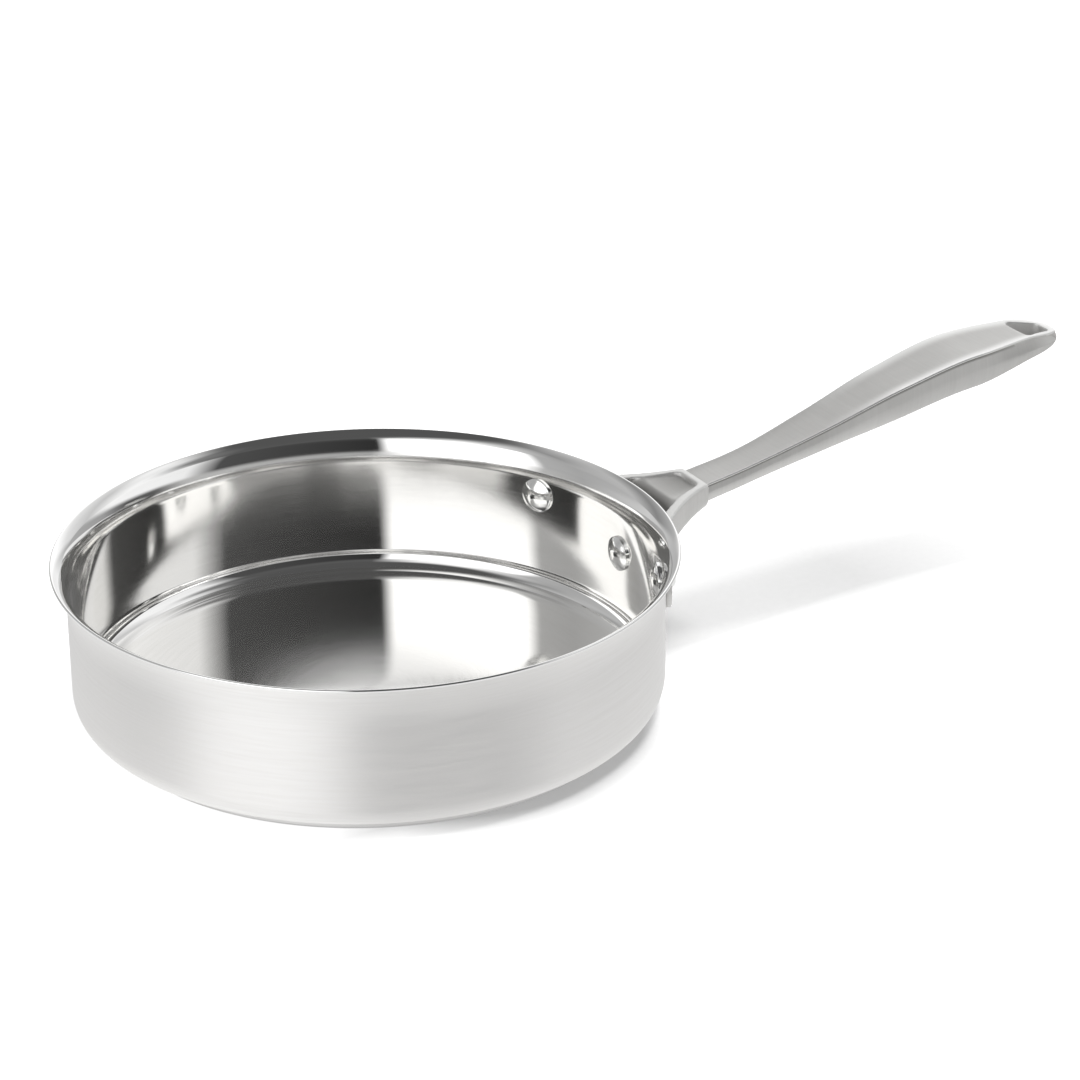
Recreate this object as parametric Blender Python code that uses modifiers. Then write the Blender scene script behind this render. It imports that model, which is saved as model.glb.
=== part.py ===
"""Saute pan: a vessel with a flared rim, a capped disc base and a cast handle held on by three rivets.

The origin is the middle of the base, on the surface that the pan stands on. +X runs out along the handle
and +Z is up. Sizes are in metres and angles in degrees.
"""

import math

import bmesh
import bpy
from mathutils import Vector

# Vessel: a drawn sheet with a straight wall and a rim that turns outwards to pour from
RIM_RADIUS = 0.128
PAN_HEIGHT = 0.0686
SHEET = 0.002
FLARE_RADIUS = 0.0308
FLARE_TURN = 36.4
CORNER_RADIUS = 0.0103

# Base: a thick disc that spreads the heat, under a thin cap
BASE_STEP = 0.0041
BASE_MARGIN = 0.0009
CAP_SHEET = 0.0006
CAP_EDGE_RADIUS = 0.0012

# Rivets: two high at the sides and one low in the middle
RIVET_SPREAD = 24.8
UPPER_RIVET_DROP = 0.0196
LOWER_RIVET_DROP = 0.0301
HEAD_RADIUS = 0.0075
HEAD_RISE = 0.0035
HEAD_EDGE = 0.0007
SHANK_RADIUS = 0.0032
TAIL_RADIUS = 0.0042
TAIL_RISE = 0.0023

# Flange: the curved plate of the handle that the rivets go through
FLANGE_THICKNESS = 0.0024
FLANGE_ROUNDING = 0.0008
EAR_RADIUS = 0.010
EAR_DROP = 0.002
LOBE_RADIUS = 0.010

# Yoke: two arms that spread from the neck to the wall, with a pocket between them
YOKE_DROP = 0.0026
YOKE_LENGTH = 0.0362
YOKE_DIP = 0.0585
YOKE_DIP_CURVE = 1.7
COLLAR_HALF_WIDTH = 0.0109
COLLAR_DEPTH = 0.0110
COLLAR_LENGTH = 0.0036
COLLAR_ROUNDING = 0.0012
ARM_SPLAY = 0.255
ARM_CURVE = 11.0
ARM_THICKNESS = 0.0037
ARM_GROWTH = 0.04
ARM_EDGE_RADIUS = 0.0012
ARM_UNDER_RADIUS = 0.004
UNDERSIDE_FALL = 0.25
WEB_LENGTH = 0.014
WEB_DEPTH = 0.004
POCKET_NECK_DEPTH = 0.0024
POCKET_SHELF_LENGTH = 0.015
POCKET_SHELF_FALL = 0.04
POCKET_WALL_FALL = 0.6
POCKET_DISH = 0.0012
POCKET_CORNER_RADIUS = 0.0028

# Grip: where its sections lie along the handle
HANDLE_REACH = 0.2217
GRIP_TUCK = 0.0025
WAIST_FROM_COLLAR = 0.022
SWELL_FROM_TIP = 0.049
TIP_ROUND_LENGTH = 0.0185
TIP_BLUNTNESS = 2.4
TIP_TURN = 85.0

# Grip: half of its width on top at each section, and how far its sides stand out beyond that near the tip
NECK_HALF_WIDTH = 0.0092
WAIST_HALF_WIDTH = 0.0089
FORE_HALF_WIDTH = 0.0112
PALM_HALF_WIDTH = 0.0138
SWELL_HALF_WIDTH = 0.0153
HOLE_HALF_WIDTH = 0.0119
TIP_HALF_WIDTH = 0.0104
HOLE_SIDE_STAND = 0.0033
TIP_SIDE_STAND = 0.0026

# Grip: how far its top edges rise above the collar's top at each section
NECK_RISE = -0.0012
WAIST_RISE = 0.0029
FORE_RISE = 0.0130
PALM_RISE = 0.0247
SWELL_RISE = 0.0327
HOLE_RISE = 0.0341
TIP_RISE = 0.0322

# Grip: its depth at each section
NECK_DEPTH = 0.0106
WAIST_DEPTH = 0.0103
FORE_DEPTH = 0.0128
PALM_DEPTH = 0.0177
SWELL_DEPTH = 0.0189
HOLE_DEPTH = 0.0122
TIP_DEPTH = 0.0064

# Grip: the polished edge round its top face, the hollow of that face and the groove under the edge
CREST_RADIUS = 0.0005
TOP_HOLLOW = 0.0007
GROOVE_DEPTH = 0.0005
GROOVE_DROP = 0.0011
SIDE_LINE = 0.4
UNDERSIDE_FULLNESS = 2.6

# Hanging hole: a rounded wedge just short of the tip
HOLE_FROM_TIP = 0.0191
HOLE_TIP_WALL = 0.0042
HOLE_BACK_HALF_WIDTH = 0.0094
HOLE_FRONT_HALF_WIDTH = 0.0046
HOLE_BACK_ROUNDING = 0.0016
HOLE_FRONT_ROUNDING = 0.0032

# Gap between pieces that touch, and how far a cutter runs past what it cuts
CLEARANCE = 0.0003
OVERCUT = 0.004

# Facets, and the shares of a half width at which points lie across the grip's top and the pocket's floor
VESSEL_STEPS = 72
RIVET_STEPS = 24
ARC_STEPS = 6
EDGE_STEPS = 3
CORNER_STEPS = 4
UNDERSIDE_STEPS = 8
CIRCLE_STEPS = 36
TOP_SHARES = (0.0, 0.4, 0.7, 0.9)
FLOOR_SHARES = (1.0, 0.9, 0.75, 0.5, 0.0)
GRIP_RINGS = 30
TIP_RINGS = 9
YOKE_RINGS = 14
POCKET_RINGS = 6
FLANGE_STRIPS = 30
SMOOTH_ANGLE = 35.0

# Places that follow from the sizes
FLARE_END = math.radians(FLARE_TURN)
FLARE_CENTRE_RADIUS = RIM_RADIUS - SHEET / 2 + (FLARE_RADIUS + SHEET / 2) * math.cos(FLARE_END)
FLARE_START = PAN_HEIGHT - SHEET / 2 - (FLARE_RADIUS + SHEET / 2) * math.sin(FLARE_END)
WALL_RADIUS = FLARE_CENTRE_RADIUS - FLARE_RADIUS
FLOOR_RADIUS = WALL_RADIUS - CORNER_RADIUS
BASE_RADIUS = FLOOR_RADIUS - BASE_MARGIN
UPPER_RIVET_HEIGHT = PAN_HEIGHT - UPPER_RIVET_DROP
LOWER_RIVET_HEIGHT = PAN_HEIGHT - LOWER_RIVET_DROP
FLANGE_RADIUS = WALL_RADIUS + CLEARANCE + FLANGE_THICKNESS
COLLAR_TOP = PAN_HEIGHT - YOKE_DROP
COLLAR_END = WALL_RADIUS + YOKE_LENGTH
TIP = WALL_RADIUS + HANDLE_REACH
TIP_ROUND_START = TIP - TIP_ROUND_LENGTH


def start_scene():
    """Removes what the scene holds and makes one collection for the parts and one for the cutters."""
    for obj in list(bpy.data.objects):
        bpy.data.objects.remove(obj, do_unlink=True)
    parts = bpy.data.collections.new("saute_pan")
    cutters = bpy.data.collections.new("cutters")
    bpy.context.scene.collection.children.link(parts)
    bpy.context.scene.collection.children.link(cutters)
    return parts, cutters


PARTS, CUTTERS = start_scene()


def metal(name, colour, roughness):
    """A Principled material for a bare metal."""
    material = bpy.data.materials.new(name)
    material.use_nodes = True
    shader = material.node_tree.nodes["Principled BSDF"]
    shader.inputs["Base Color"].default_value = (*colour, 1.0)
    shader.inputs["Metallic"].default_value = 1.0
    shader.inputs["Roughness"].default_value = roughness
    material.diffuse_color = (*colour, 1.0)
    return material


def add_part(name, mesh, material):
    """One sub-part in the object's collection."""
    part = bpy.data.objects.new(name, mesh)
    mesh.materials.clear()
    mesh.materials.append(material)
    PARTS.objects.link(part)
    return part


def add_cutter(name, mesh):
    """A tool body for Booleans, left out of renders."""
    cutter = bpy.data.objects.new(name, mesh)
    cutter.hide_render = True
    cutter.display_type = "WIRE"
    CUTTERS.objects.link(cutter)
    return cutter


def boolean(part, tool, operation):
    """Cuts or joins a part with a tool body."""
    modifier = part.modifiers.new(f"{operation.lower()}_{tool.name}", "BOOLEAN")
    modifier.operation = operation
    modifier.solver = "EXACT"
    modifier.object = tool


def baked(obj):
    """The mesh that an object's modifiers or curve make, with the object removed."""
    bpy.context.view_layer.update()
    graph = bpy.context.evaluated_depsgraph_get()
    mesh = bpy.data.meshes.new_from_object(obj.evaluated_get(graph))
    bpy.data.objects.remove(obj, do_unlink=True)
    return mesh


def smooth(mesh):
    """Shades a mesh smooth but for its hard edges."""
    mesh.shade_smooth()
    mesh.set_sharp_from_angle(angle=math.radians(SMOOTH_ANGLE))
    return mesh


def revolved(profile, steps):
    """A mesh turned about Z from (radius, height) points that run down its outer side."""
    line = bpy.data.meshes.new("profile")
    edges = [(index, index + 1) for index in range(len(profile) - 1)]
    line.from_pydata([(radius, 0.0, height) for radius, height in profile], edges, [])
    guide = bpy.data.objects.new("profile", line)
    CUTTERS.objects.link(guide)
    screw = guide.modifiers.new("turn", "SCREW")
    screw.axis = "Z"
    screw.steps = steps
    screw.render_steps = steps
    screw.use_merge_vertices = True
    screw.merge_threshold = 0.00001
    return smooth(baked(guide))


def lofted(rings):
    """A closed mesh through rings of as many points each."""
    mesh = bpy.data.meshes.new("loft")
    shape = bmesh.new()
    loops = [[shape.verts.new(point) for point in ring] for ring in rings]
    for loop, following in zip(loops, loops[1:]):
        for index, vertex in enumerate(loop):
            before = index - 1
            shape.faces.new((loop[before], vertex, following[index], following[before]))
    shape.faces.new(loops[0])
    shape.faces.new(loops[-1])
    bmesh.ops.recalc_face_normals(shape, faces=shape.faces)
    shape.to_mesh(mesh)
    shape.free()
    return smooth(mesh)


def plate(outline, thickness, rounding):
    """A flat plate in XY from a closed outline, centred on Z, with rounded edges."""
    curve = bpy.data.curves.new("plate", "CURVE")
    curve.dimensions = "2D"
    curve.fill_mode = "BOTH"
    curve.extrude = thickness / 2 - rounding
    curve.bevel_depth = rounding
    curve.bevel_resolution = 2
    curve.offset = -rounding
    spline = curve.splines.new("POLY")
    spline.points.add(len(outline) - 1)
    for point, (x, y) in zip(spline.points, outline):
        point.co = (x, y, 0.0, 1.0)
    spline.use_cyclic_u = True
    guide = bpy.data.objects.new("plate", curve)
    CUTTERS.objects.link(guide)
    mesh = baked(guide)
    shape = bmesh.new()
    shape.from_mesh(mesh)
    bmesh.ops.remove_doubles(shape, verts=shape.verts, dist=0.00001)
    shape.to_mesh(mesh)
    shape.free()
    return mesh


def arc(centre_x, centre_y, radius, start, end, steps):
    """Points along an arc, from one angle to another, both ends included."""
    points = []
    for index in range(steps + 1):
        angle = math.radians(start + (end - start) * index / steps)
        points.append((centre_x + radius * math.cos(angle), centre_y + radius * math.sin(angle)))
    return points


def hull(points):
    """The convex outline round some points, anticlockwise."""
    ordered = sorted(set(points))

    def chain(run):
        kept = []
        for x, y in run:
            while len(kept) > 1:
                (ax, ay), (bx, by) = kept[-2:]
                if (bx - ax) * (y - ay) - (by - ay) * (x - ax) > 0:
                    break
                kept.pop()
            kept.append((x, y))
        return kept[:-1]

    return chain(ordered) + chain(reversed(ordered))


def rounded_corners(corners, steps):
    """A closed outline from (x, y, radius) corners, each rounded by an arc that touches both its sides."""
    outline = []
    for index, (x, y, radius) in enumerate(corners):
        corner = Vector((x, y))
        before = (Vector(corners[index - 1][:2]) - corner).normalized()
        after = (Vector(corners[(index + 1) % len(corners)][:2]) - corner).normalized()
        half = before.angle(after) / 2
        centre = corner + (before + after).normalized() * radius / math.sin(half)
        first = corner + before * radius / math.tan(half) - centre
        turn = math.atan2(first.y, first.x)
        sweep = math.pi - 2 * half
        for step in range(steps + 1):
            angle = turn + sweep * step / steps
            outline.append((centre.x + radius * math.cos(angle), centre.y + radius * math.sin(angle)))
    return outline


def flare(offset):
    """The wall's side above its straight part, set off outwards from its outer face, bottom to top."""
    radius = FLARE_RADIUS - offset
    points = []
    for index in range(ARC_STEPS + 1):
        angle = FLARE_END * index / ARC_STEPS
        height = FLARE_START + radius * math.sin(angle)
        points.append((FLARE_CENTRE_RADIUS - radius * math.cos(angle), height))
    return points


def rim_round(offset):
    """The rim's round edge, set off outwards, from the inner side over the top to the outer side."""
    radius = FLARE_RADIUS + SHEET / 2
    centre_x = FLARE_CENTRE_RADIUS - radius * math.cos(FLARE_END)
    centre_y = FLARE_START + radius * math.sin(FLARE_END)
    return arc(centre_x, centre_y, SHEET / 2 + offset, 180 - FLARE_TURN, -FLARE_TURN, ARC_STEPS)[1:-1]


def vessel_profile():
    """Down the vessel's outer side, from the middle of its floor over the rim to that of its underside."""
    inside = CORNER_RADIUS - SHEET
    inner_corner = arc(FLOOR_RADIUS, BASE_STEP + CORNER_RADIUS, inside, -90, 0, ARC_STEPS)
    outer_corner = arc(FLOOR_RADIUS, BASE_STEP + CORNER_RADIUS, CORNER_RADIUS, 0, -90, ARC_STEPS)
    profile = [(0.0, BASE_STEP + SHEET)]
    profile += inner_corner
    profile += flare(-SHEET)
    profile += rim_round(0.0)
    profile += reversed(flare(0.0))
    profile += outer_corner
    profile.append((0.0, BASE_STEP))
    return profile


def cap_profile():
    """Down the cap's outer side, from the middle of its inner face to the middle of its underside."""
    top = BASE_STEP - CLEARANCE
    inside = CAP_EDGE_RADIUS - CAP_SHEET
    centre_x = BASE_RADIUS - CAP_EDGE_RADIUS
    profile = [(0.0, CAP_SHEET)]
    profile += arc(centre_x, CAP_EDGE_RADIUS, inside, -90, 0, ARC_STEPS // 2)
    profile += [(BASE_RADIUS - CAP_SHEET, top), (BASE_RADIUS, top)]
    profile += arc(centre_x, CAP_EDGE_RADIUS, CAP_EDGE_RADIUS, 0, -90, ARC_STEPS // 2)
    profile.append((0.0, 0.0))
    return profile


def disc_profile():
    """Down the outer side of the disc that fills the cap."""
    low = CAP_SHEET + CLEARANCE
    edge = BASE_RADIUS - CAP_SHEET - CLEARANCE
    rounding = CAP_EDGE_RADIUS - CAP_SHEET
    profile = [(0.0, BASE_STEP - CLEARANCE), (edge, BASE_STEP - CLEARANCE)]
    profile += arc(edge - rounding, low + rounding, rounding, 0, -90, ARC_STEPS // 2)
    profile.append((0.0, low))
    return profile


def outside_of_wall():
    """The space that the handle keeps out of: the vessel filled in and grown by the clearance."""
    rim_edge = RIM_RADIUS + CLEARANCE
    above = PAN_HEIGHT + OVERCUT * 4
    profile = [(0.0, above), (rim_edge, above)]
    profile.append((rim_edge, PAN_HEIGHT - SHEET / 2))
    profile += reversed(flare(CLEARANCE))
    profile += [(WALL_RADIUS + CLEARANCE, -OVERCUT), (0.0, -OVERCUT)]
    return revolved(profile, VESSEL_STEPS)


def inside_of_wall():
    """The space that a rivet's head keeps out of: the wall's inner side and all that lies beyond it."""
    beyond = RIM_RADIUS + OVERCUT
    profile = list(reversed(flare(-SHEET - CLEARANCE)))
    profile += [(WALL_RADIUS - SHEET - CLEARANCE, BASE_STEP), (beyond, BASE_STEP), (beyond, profile[0][1])]
    profile.append(profile[0])
    profile.reverse()
    return revolved(profile, VESSEL_STEPS)


def rivet_frames():
    """Each rivet's name, its angle round the pan and its height."""
    return (
        ("rivet_upper_left", RIVET_SPREAD, UPPER_RIVET_HEIGHT),
        ("rivet_upper_right", -RIVET_SPREAD, UPPER_RIVET_HEIGHT),
        ("rivet_lower", 0.0, LOWER_RIVET_HEIGHT),
    )


def place_on_wall(obj, angle, height):
    """Puts an object's origin on the wall's inner face, its Z pointing out through the wall."""
    turn = math.radians(angle)
    radius = WALL_RADIUS - SHEET
    obj.location = (radius * math.cos(turn), radius * math.sin(turn), height)
    obj.rotation_euler = (0.0, math.pi / 2, turn)


def rivet_holes():
    """A round cutter through the wall and the flange for each rivet."""
    cutters = []
    for name, angle, height in rivet_frames():
        through = SHEET + CLEARANCE + FLANGE_THICKNESS + OVERCUT
        radius = SHANK_RADIUS + CLEARANCE
        profile = [(0.0, through), (radius, through), (radius, -OVERCUT), (0.0, -OVERCUT)]
        cutter = add_cutter(f"hole_for_{name}", revolved(profile, RIVET_STEPS))
        place_on_wall(cutter, angle, height)
        cutters.append(cutter)
    return cutters


def head_profile():
    """Down the side of a rivet's head, whose round face looks into the pan."""
    rise = HEAD_RISE - HEAD_EDGE
    sphere = (HEAD_RADIUS**2 + rise**2) / (2 * rise)
    spread = math.degrees(math.asin(HEAD_RADIUS / sphere))
    dome = arc(0.0, sphere - HEAD_RISE - CLEARANCE, sphere, -90 + spread, -90, ARC_STEPS)
    return [(0.0, SHEET / 2), (HEAD_RADIUS, SHEET / 2)] + dome[:-1] + [(0.0, -HEAD_RISE - CLEARANCE)]


def shank_profile():
    """Down the side of a rivet's shank and the tail that is upset over the flange."""
    seat = SHEET + CLEARANCE + FLANGE_THICKNESS + CLEARANCE
    sphere = (TAIL_RADIUS**2 + TAIL_RISE**2) / (2 * TAIL_RISE)
    spread = math.degrees(math.asin(TAIL_RADIUS / sphere))
    dome = arc(0.0, seat + TAIL_RISE - sphere, sphere, 90, 90 - spread, ARC_STEPS)
    end = -HEAD_RISE / 2
    return [(0.0, seat + TAIL_RISE)] + dome[1:] + [(SHANK_RADIUS, seat), (SHANK_RADIUS, end), (0.0, end)]


def make_rivets(material):
    """Three rivets, their heads cut to the wall's inner side."""
    wall = add_cutter("inside_of_wall", inside_of_wall())
    for name, angle, height in rivet_frames():
        head = add_part(name, revolved(head_profile(), RIVET_STEPS), material)
        place_on_wall(head, angle, height)
        shank = add_cutter(f"shank_of_{name}", revolved(shank_profile(), RIVET_STEPS))
        place_on_wall(shank, angle, height)
        boolean(head, wall, "DIFFERENCE")
        boolean(head, shank, "UNION")


def make_vessel(material, holes):
    """The drawn vessel with its three rivet holes."""
    vessel = add_part("pan_body", revolved(vessel_profile(), VESSEL_STEPS), material)
    for hole in holes:
        boolean(vessel, hole, "DIFFERENCE")


def curve_through(stations, values, at):
    """The height at one place of a smooth curve through stations that never overshoots them."""
    slopes = []
    for index in range(len(stations) - 1):
        slopes.append((values[index + 1] - values[index]) / (stations[index + 1] - stations[index]))
    tangents = [slopes[0]]
    for before, after in zip(slopes, slopes[1:]):
        turning = before * after <= 0
        tangents.append(0.0 if turning else 2 * before * after / (before + after))
    tangents.append(slopes[-1])
    last = len(stations) - 2
    index = next((spot for spot in range(last) if at <= stations[spot + 1]), last)
    span = stations[index + 1] - stations[index]
    part = (at - stations[index]) / span
    rest = 1 - part
    return (
        values[index] * rest * rest * (1 + 2 * part)
        + values[index + 1] * part * part * (1 + 2 * rest)
        + span * part * rest * (tangents[index] * rest - tangents[index + 1] * part)
    )


def grip_stations():
    """Where the grip's sections lie: neck, waist, fore, palm, swell, the hole's back edge and the tip."""
    neck = COLLAR_END - GRIP_TUCK
    waist = COLLAR_END + WAIST_FROM_COLLAR
    swell = TIP - SWELL_FROM_TIP
    third = (swell - waist) / 3
    return neck, waist, waist + third, swell - third, swell, TIP - HOLE_FROM_TIP, TIP


def grip_size(values, at):
    """One size of the grip at a place along it."""
    return curve_through(grip_stations(), values, at)


def grip_section(at, closing):
    """The ring round the grip at a place along it; closing falls from 1 to 0 round the tip."""
    top_half = grip_size(
        (
            NECK_HALF_WIDTH,
            WAIST_HALF_WIDTH,
            FORE_HALF_WIDTH,
            PALM_HALF_WIDTH,
            SWELL_HALF_WIDTH,
            HOLE_HALF_WIDTH,
            TIP_HALF_WIDTH,
        ),
        at,
    )
    rise = grip_size((NECK_RISE, WAIST_RISE, FORE_RISE, PALM_RISE, SWELL_RISE, HOLE_RISE, TIP_RISE), at)
    depths = (NECK_DEPTH, WAIST_DEPTH, FORE_DEPTH, PALM_DEPTH, SWELL_DEPTH, HOLE_DEPTH, TIP_DEPTH)
    depth = grip_size(depths, at)
    stand = grip_size((0.0, 0.0, 0.0, 0.0, 0.0, HOLE_SIDE_STAND, TIP_SIDE_STAND), at)
    groove = GROOVE_DEPTH * grip_size((1.0, 1.0, 1.0, 1.0, 1.0, 0.0, 0.0), at)
    softening = (1 + closing) / 2
    crest = CREST_RADIUS * closing
    side_half = (top_half + stand) * closing
    top_half = top_half * closing
    depth = depth * softening
    top = COLLAR_TOP + rise - depth * (1 - softening) / 2
    side_line = top - depth * SIDE_LINE
    hollow = TOP_HOLLOW * closing
    half = [(share * (top_half - crest), top - hollow * (1 - share**3)) for share in TOP_SHARES]
    half += arc(top_half - crest, top - crest, crest, 90, -30, EDGE_STEPS)
    groove_line = top - GROOVE_DROP * closing
    half.append((top_half - groove, groove_line))
    half.append(((top_half - groove + side_half) / 2, (groove_line + side_line) / 2))
    power = 2 / UNDERSIDE_FULLNESS
    for index in range(UNDERSIDE_STEPS):
        angle = math.pi / 2 * index / UNDERSIDE_STEPS
        down = (side_line - top + depth) * math.sin(angle) ** power
        half.append((side_half * math.cos(angle) ** power, side_line - down))
    half.append((0.0, top - depth))
    return ring_from_half(at, half)


def ring_from_half(at, half):
    """A whole ring from the half that runs from the middle of the top to the middle of the underside."""
    right = [(at, -across, height) for across, height in half]
    left = [(at, across, height) for across, height in reversed(half[1:-1])]
    return right + left


def grip_mesh():
    """The grip from inside the collar to the tip."""
    start = grip_stations()[0]
    rings = []
    for index in range(GRIP_RINGS):
        rings.append(grip_section(start + (TIP_ROUND_START - start) * index / GRIP_RINGS, 1.0))
    power = 2 / TIP_BLUNTNESS
    for index in range(TIP_RINGS):
        angle = math.radians(TIP_TURN) * index / (TIP_RINGS - 1)
        along = TIP_ROUND_START + TIP_ROUND_LENGTH * math.sin(angle) ** power
        rings.append(grip_section(along, math.cos(angle) ** power))
    return lofted(rings)


def yoke_half_width(at):
    """Half of the yoke's width outside its arms."""
    back = COLLAR_END - at
    return COLLAR_HALF_WIDTH + ARM_SPLAY * back + ARM_CURVE * back * back


def yoke_top(at):
    """The height of the arms' top faces."""
    back = COLLAR_END - at
    return COLLAR_TOP - YOKE_DIP * back - YOKE_DIP_CURVE * back * back


def yoke_under(at):
    """The height of the yoke's underside, which drops to meet the flange."""
    near_wall = max(0.0, 1 - (at - WALL_RADIUS) / WEB_LENGTH)
    return COLLAR_TOP - COLLAR_DEPTH - UNDERSIDE_FALL * (COLLAR_END - at) - WEB_DEPTH * near_wall**2


def yoke_section(at, inset):
    """The ring round the yoke at a place along it, drawn in by an inset."""
    across = yoke_half_width(at) - inset
    top = yoke_top(at) - inset
    under = yoke_under(at) + inset
    edge = ARM_EDGE_RADIUS
    low = ARM_UNDER_RADIUS
    half = [(0.0, top), (across / 2, top)]
    half += arc(across - edge, top - edge, edge, 90, 0, EDGE_STEPS)
    half += arc(across - low, under + low, low, 0, -90, CORNER_STEPS)
    half += [(across / 2, under), (0.0, under)]
    return ring_from_half(at, half)


def yoke_mesh():
    """The yoke as a solid, from inside the wall to the collar's rounded end."""
    start = WALL_RADIUS - OVERCUT * 2
    straight_end = COLLAR_END - COLLAR_ROUNDING
    rings = []
    for index in range(YOKE_RINGS):
        rings.append(yoke_section(start + (straight_end - start) * index / YOKE_RINGS, 0.0))
    for along, inset in arc(straight_end, COLLAR_ROUNDING, COLLAR_ROUNDING, -90, 0, EDGE_STEPS):
        rings.append(yoke_section(along, inset))
    return lofted(rings)


def pocket_stations():
    """Where the pocket ends at the neck, and where its shelf drops away towards the wall."""
    neck = COLLAR_END - COLLAR_LENGTH
    return neck, neck - POCKET_SHELF_LENGTH


def pocket_section(at, inset):
    """The ring round the pocket between the arms at a place along it, drawn in by an inset."""
    back = COLLAR_END - at
    slope = ARM_SPLAY + 2 * ARM_CURVE * back
    arm = (ARM_THICKNESS + ARM_GROWTH * back) * math.hypot(1, slope)
    across = yoke_half_width(at) - arm - inset
    neck, shelf_end = pocket_stations()
    depth = POCKET_NECK_DEPTH + POCKET_SHELF_FALL * (neck - at)
    depth += POCKET_WALL_FALL * max(0.0, shelf_end - at)
    half = [(0.0, COLLAR_TOP + OVERCUT), (across, COLLAR_TOP + OVERCUT)]
    for share in FLOOR_SHARES:
        half.append((across * share, COLLAR_TOP - depth + POCKET_DISH * share**4))
    return ring_from_half(at, half)


def pocket_mesh():
    """The space between the arms: a dished shelf at the neck that drops away towards the wall."""
    start = WALL_RADIUS - OVERCUT * 2
    neck, shelf_end = pocket_stations()
    straight_end = neck - POCKET_CORNER_RADIUS
    rings = []
    for index in range(YOKE_RINGS):
        rings.append(pocket_section(start + (shelf_end - start) * index / YOKE_RINGS, 0.0))
    for index in range(POCKET_RINGS):
        rings.append(pocket_section(shelf_end + (straight_end - shelf_end) * index / POCKET_RINGS, 0.0))
    for along, inset in arc(straight_end, POCKET_CORNER_RADIUS, POCKET_CORNER_RADIUS, -90, 0, CORNER_STEPS):
        rings.append(pocket_section(along, inset))
    return lofted(rings)


def flange_outline():
    """The flange laid out flat: along the wall, and height."""
    ear_along = FLANGE_RADIUS * math.radians(RIVET_SPREAD)
    circles = (
        (ear_along, UPPER_RIVET_HEIGHT - EAR_DROP, EAR_RADIUS),
        (-ear_along, UPPER_RIVET_HEIGHT - EAR_DROP, EAR_RADIUS),
        (0.0, LOWER_RIVET_HEIGHT, LOBE_RADIUS),
    )
    points = []
    for along, height, radius in circles:
        points += arc(along, height, radius, 0, 360, CIRCLE_STEPS)[:-1]
    return hull(points)


def flange_mesh():
    """The flange: a flat plate with rounded edges, cut into strips and bent round the wall."""
    outline = flange_outline()
    thickness = FLANGE_THICKNESS + CLEARANCE + SHEET
    mesh = plate(outline, thickness, FLANGE_ROUNDING)
    shape = bmesh.new()
    shape.from_mesh(mesh)
    reach = max(along for along, _ in outline)
    for index in range(1, FLANGE_STRIPS):
        place = reach * (2 * index / FLANGE_STRIPS - 1)
        geometry = shape.verts[:] + shape.edges[:] + shape.faces[:]
        bmesh.ops.bisect_plane(shape, geom=geometry, plane_co=(place, 0, 0), plane_no=(1, 0, 0))
    for vertex in shape.verts:
        along, height, out = vertex.co
        radius = FLANGE_RADIUS - thickness / 2 + out
        turn = along / FLANGE_RADIUS
        vertex.co = (radius * math.cos(turn), radius * math.sin(turn), height)
    bmesh.ops.recalc_face_normals(shape, faces=shape.faces)
    shape.to_mesh(mesh)
    shape.free()
    return smooth(mesh)


def hanging_hole():
    """A cutter for the hanging hole, straight through the handle's end."""
    back = TIP - HOLE_FROM_TIP
    front = TIP - HOLE_TIP_WALL
    corners = (
        (back, HOLE_BACK_HALF_WIDTH, HOLE_BACK_ROUNDING),
        (back, -HOLE_BACK_HALF_WIDTH, HOLE_BACK_ROUNDING),
        (front, -HOLE_FRONT_HALF_WIDTH, HOLE_FRONT_ROUNDING),
        (front, HOLE_FRONT_HALF_WIDTH, HOLE_FRONT_ROUNDING),
    )
    cutter = add_cutter("hanging_hole", plate(rounded_corners(corners, CORNER_STEPS), 2 * SWELL_DEPTH, 0.0))
    cutter.location.z = COLLAR_TOP + HOLE_RISE - HOLE_DEPTH / 2
    return cutter


def make_handle(material, holes):
    """The cast handle: yoke, flange and grip in one, cut to the wall and pierced for rivets and hook."""
    handle = add_part("handle", yoke_mesh(), material)
    boolean(handle, add_cutter("pocket", pocket_mesh()), "DIFFERENCE")
    boolean(handle, add_cutter("flange", flange_mesh()), "UNION")
    boolean(handle, add_cutter("grip", grip_mesh()), "UNION")
    boolean(handle, add_cutter("outside_of_wall", outside_of_wall()), "DIFFERENCE")
    boolean(handle, hanging_hole(), "DIFFERENCE")
    for hole in holes:
        boolean(handle, hole, "DIFFERENCE")


def main():
    """Makes every sub-part."""
    holes = rivet_holes()
    make_vessel(metal("polished_stainless", (0.78, 0.77, 0.75), 0.16), holes)
    core = metal("core_aluminium", (0.72, 0.73, 0.74), 0.45)
    add_part("base_core_disc", revolved(disc_profile(), VESSEL_STEPS), core)
    cap = metal("base_stainless", (0.74, 0.73, 0.71), 0.28)
    add_part("base_cap", revolved(cap_profile(), VESSEL_STEPS), cap)
    make_handle(metal("cast_stainless", (0.7, 0.69, 0.66), 0.34), holes)
    make_rivets(metal("rivet_stainless", (0.8, 0.79, 0.77), 0.12))


main()
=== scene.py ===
# %% [markdown]
# A saute pan in polished, brushed and cast steel
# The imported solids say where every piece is. This lesson builds the finely turned and cast surfaces
# that show on the real pan, gives each its finish, and lights them as a plain studio would.

# %% The frame and its box
import math

import bmesh
import bpy
import numpy as np
from mathutils import Matrix, Vector


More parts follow.
